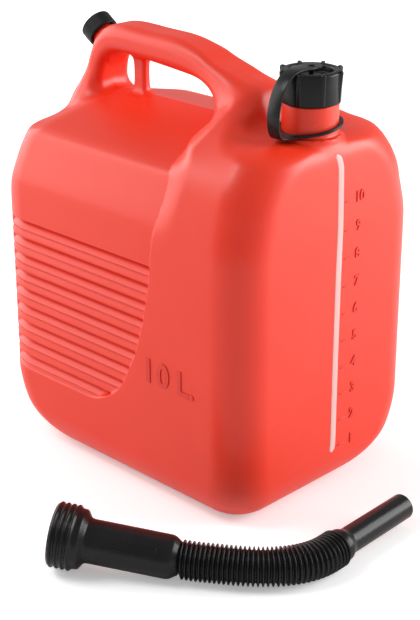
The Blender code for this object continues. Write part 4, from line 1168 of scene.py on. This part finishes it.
def make_floor():
    mesh = bpy.data.meshes.new("floor")
    corners = [(x * FLOOR_HALF, y * FLOOR_HALF, 0) for x, y in ((-1, -1), (1, -1), (1, 1), (-1, 1))]
    mesh.from_pydata(corners, [], [(0, 1, 2, 3)])
    floor = add_object("floor", mesh)
    floor.location.z = -FLOOR_DROP
    material = bpy.data.materials.new("pale_floor")
    material.use_nodes = True
    tree = material.node_tree
    shader = tree.nodes["Principled BSDF"]
    drift = noise_factor(tree, 3.0)
    tree.links.new(ramp(tree, drift, (0.90, 0.90, 0.90), (0.92, 0.92, 0.92)), shader.inputs["Base Color"])
    set_inputs(shader, {"Roughness": 0.9, "Specular IOR Level": 0.1})
    both = tree.nodes.new("ShaderNodeAddShader")
    tree.links.new(shader.outputs[0], both.inputs[0])
    tree.links.new(camera_glow(tree), both.inputs[1])
    tree.links.new(both.outputs[0], tree.nodes["Material Output"].inputs["Surface"])
    floor.data.materials.append(material)


def make_world():
    """White to the camera and through clear things, one level of light on the object."""
    world = bpy.data.worlds.new("studio")
    world.use_nodes = True
    tree = world.node_tree
    background = tree.nodes["Background"]
    path = tree.nodes.new("ShaderNodeLightPath")
    seen = tree.nodes.new("ShaderNodeMath")
    seen.operation = "MAXIMUM"
    tree.links.new(path.outputs["Is Camera Ray"], seen.inputs[0])
    tree.links.new(path.outputs["Is Transmission Ray"], seen.inputs[1])
    tree.links.new(spread(tree, seen.outputs[0], WORLD_LIGHT, 1.0), background.inputs["Strength"])
    background.inputs["Color"].default_value = (1, 1, 1, 1)
    bpy.context.scene.world = world


# Soft boxes: name, place, aim, watts, width and height, in metres
LAMPS = (
    ("left_box", (-2.1, -0.7, 0.9), (0, 0, 0.15), 45.0, 3.0, 1.7),
    ("key_box", (-0.75, -1.15, 1.9), (0, 0, 0.15), 17.0, 0.9, 0.9),
    ("right_box", (1.35, 1.4, 0.8), (0.1, 0.1, 0.1), 45.0, 1.5, 1.3),
)


def make_light():
    for name, place, aim, power, width, height in LAMPS:
        lamp = bpy.data.lights.new(name, "AREA")
        lamp.shape = "RECTANGLE"
        lamp.size = width
        lamp.size_y = height
        lamp.energy = power
        obj = add_object(name, lamp)
        obj.location = place
        obj.rotation_euler = (Vector(place) - Vector(aim)).to_track_quat("Z", "Y").to_euler()


# The camera, worked out from the photograph: place in metres, turn, tilt, roll, and its lens in pixels
CAMERA_PLACE = (0.7452, -0.7506, 0.5562)
CAMERA_TURN = radians(44.532)
CAMERA_TILT = radians(22.917)
CAMERA_ROLL = radians(-0.03)
CAMERA_FOCAL = 1500
PHOTO_HEIGHT = 620


def make_camera():
    right = Vector((cos(CAMERA_TURN), sin(CAMERA_TURN), 0.0))
    level = cos(CAMERA_TILT)
    back = Vector((sin(CAMERA_TURN) * level, -cos(CAMERA_TURN) * level, sin(CAMERA_TILT)))
    up = back.cross(right)
    turned = right * cos(CAMERA_ROLL) + up * sin(CAMERA_ROLL)
    risen = up * cos(CAMERA_ROLL) - right * sin(CAMERA_ROLL)
    camera = bpy.data.cameras.new("camera")
    camera.sensor_width = 36.0
    camera.sensor_fit = "AUTO"
    camera.lens = camera.sensor_width * CAMERA_FOCAL / PHOTO_HEIGHT
    obj = add_object("camera", camera)
    obj.matrix_world = Matrix([(*axes, place) for *axes, place in zip(turned, risen, back, CAMERA_PLACE)]
                              + [(0, 0, 0, 1)])
    bpy.context.scene.camera = obj


make_camera()
make_tank()
make_marks()
make_stripe()
make_filler_cap()
make_tether()
make_vent_cap()
make_spout_base()
make_spout_line()
make_nozzle(make_hose())
keep_seals()
make_floor()
make_world()
make_light()
bpy.context.scene.view_settings.view_transform = "Standard"
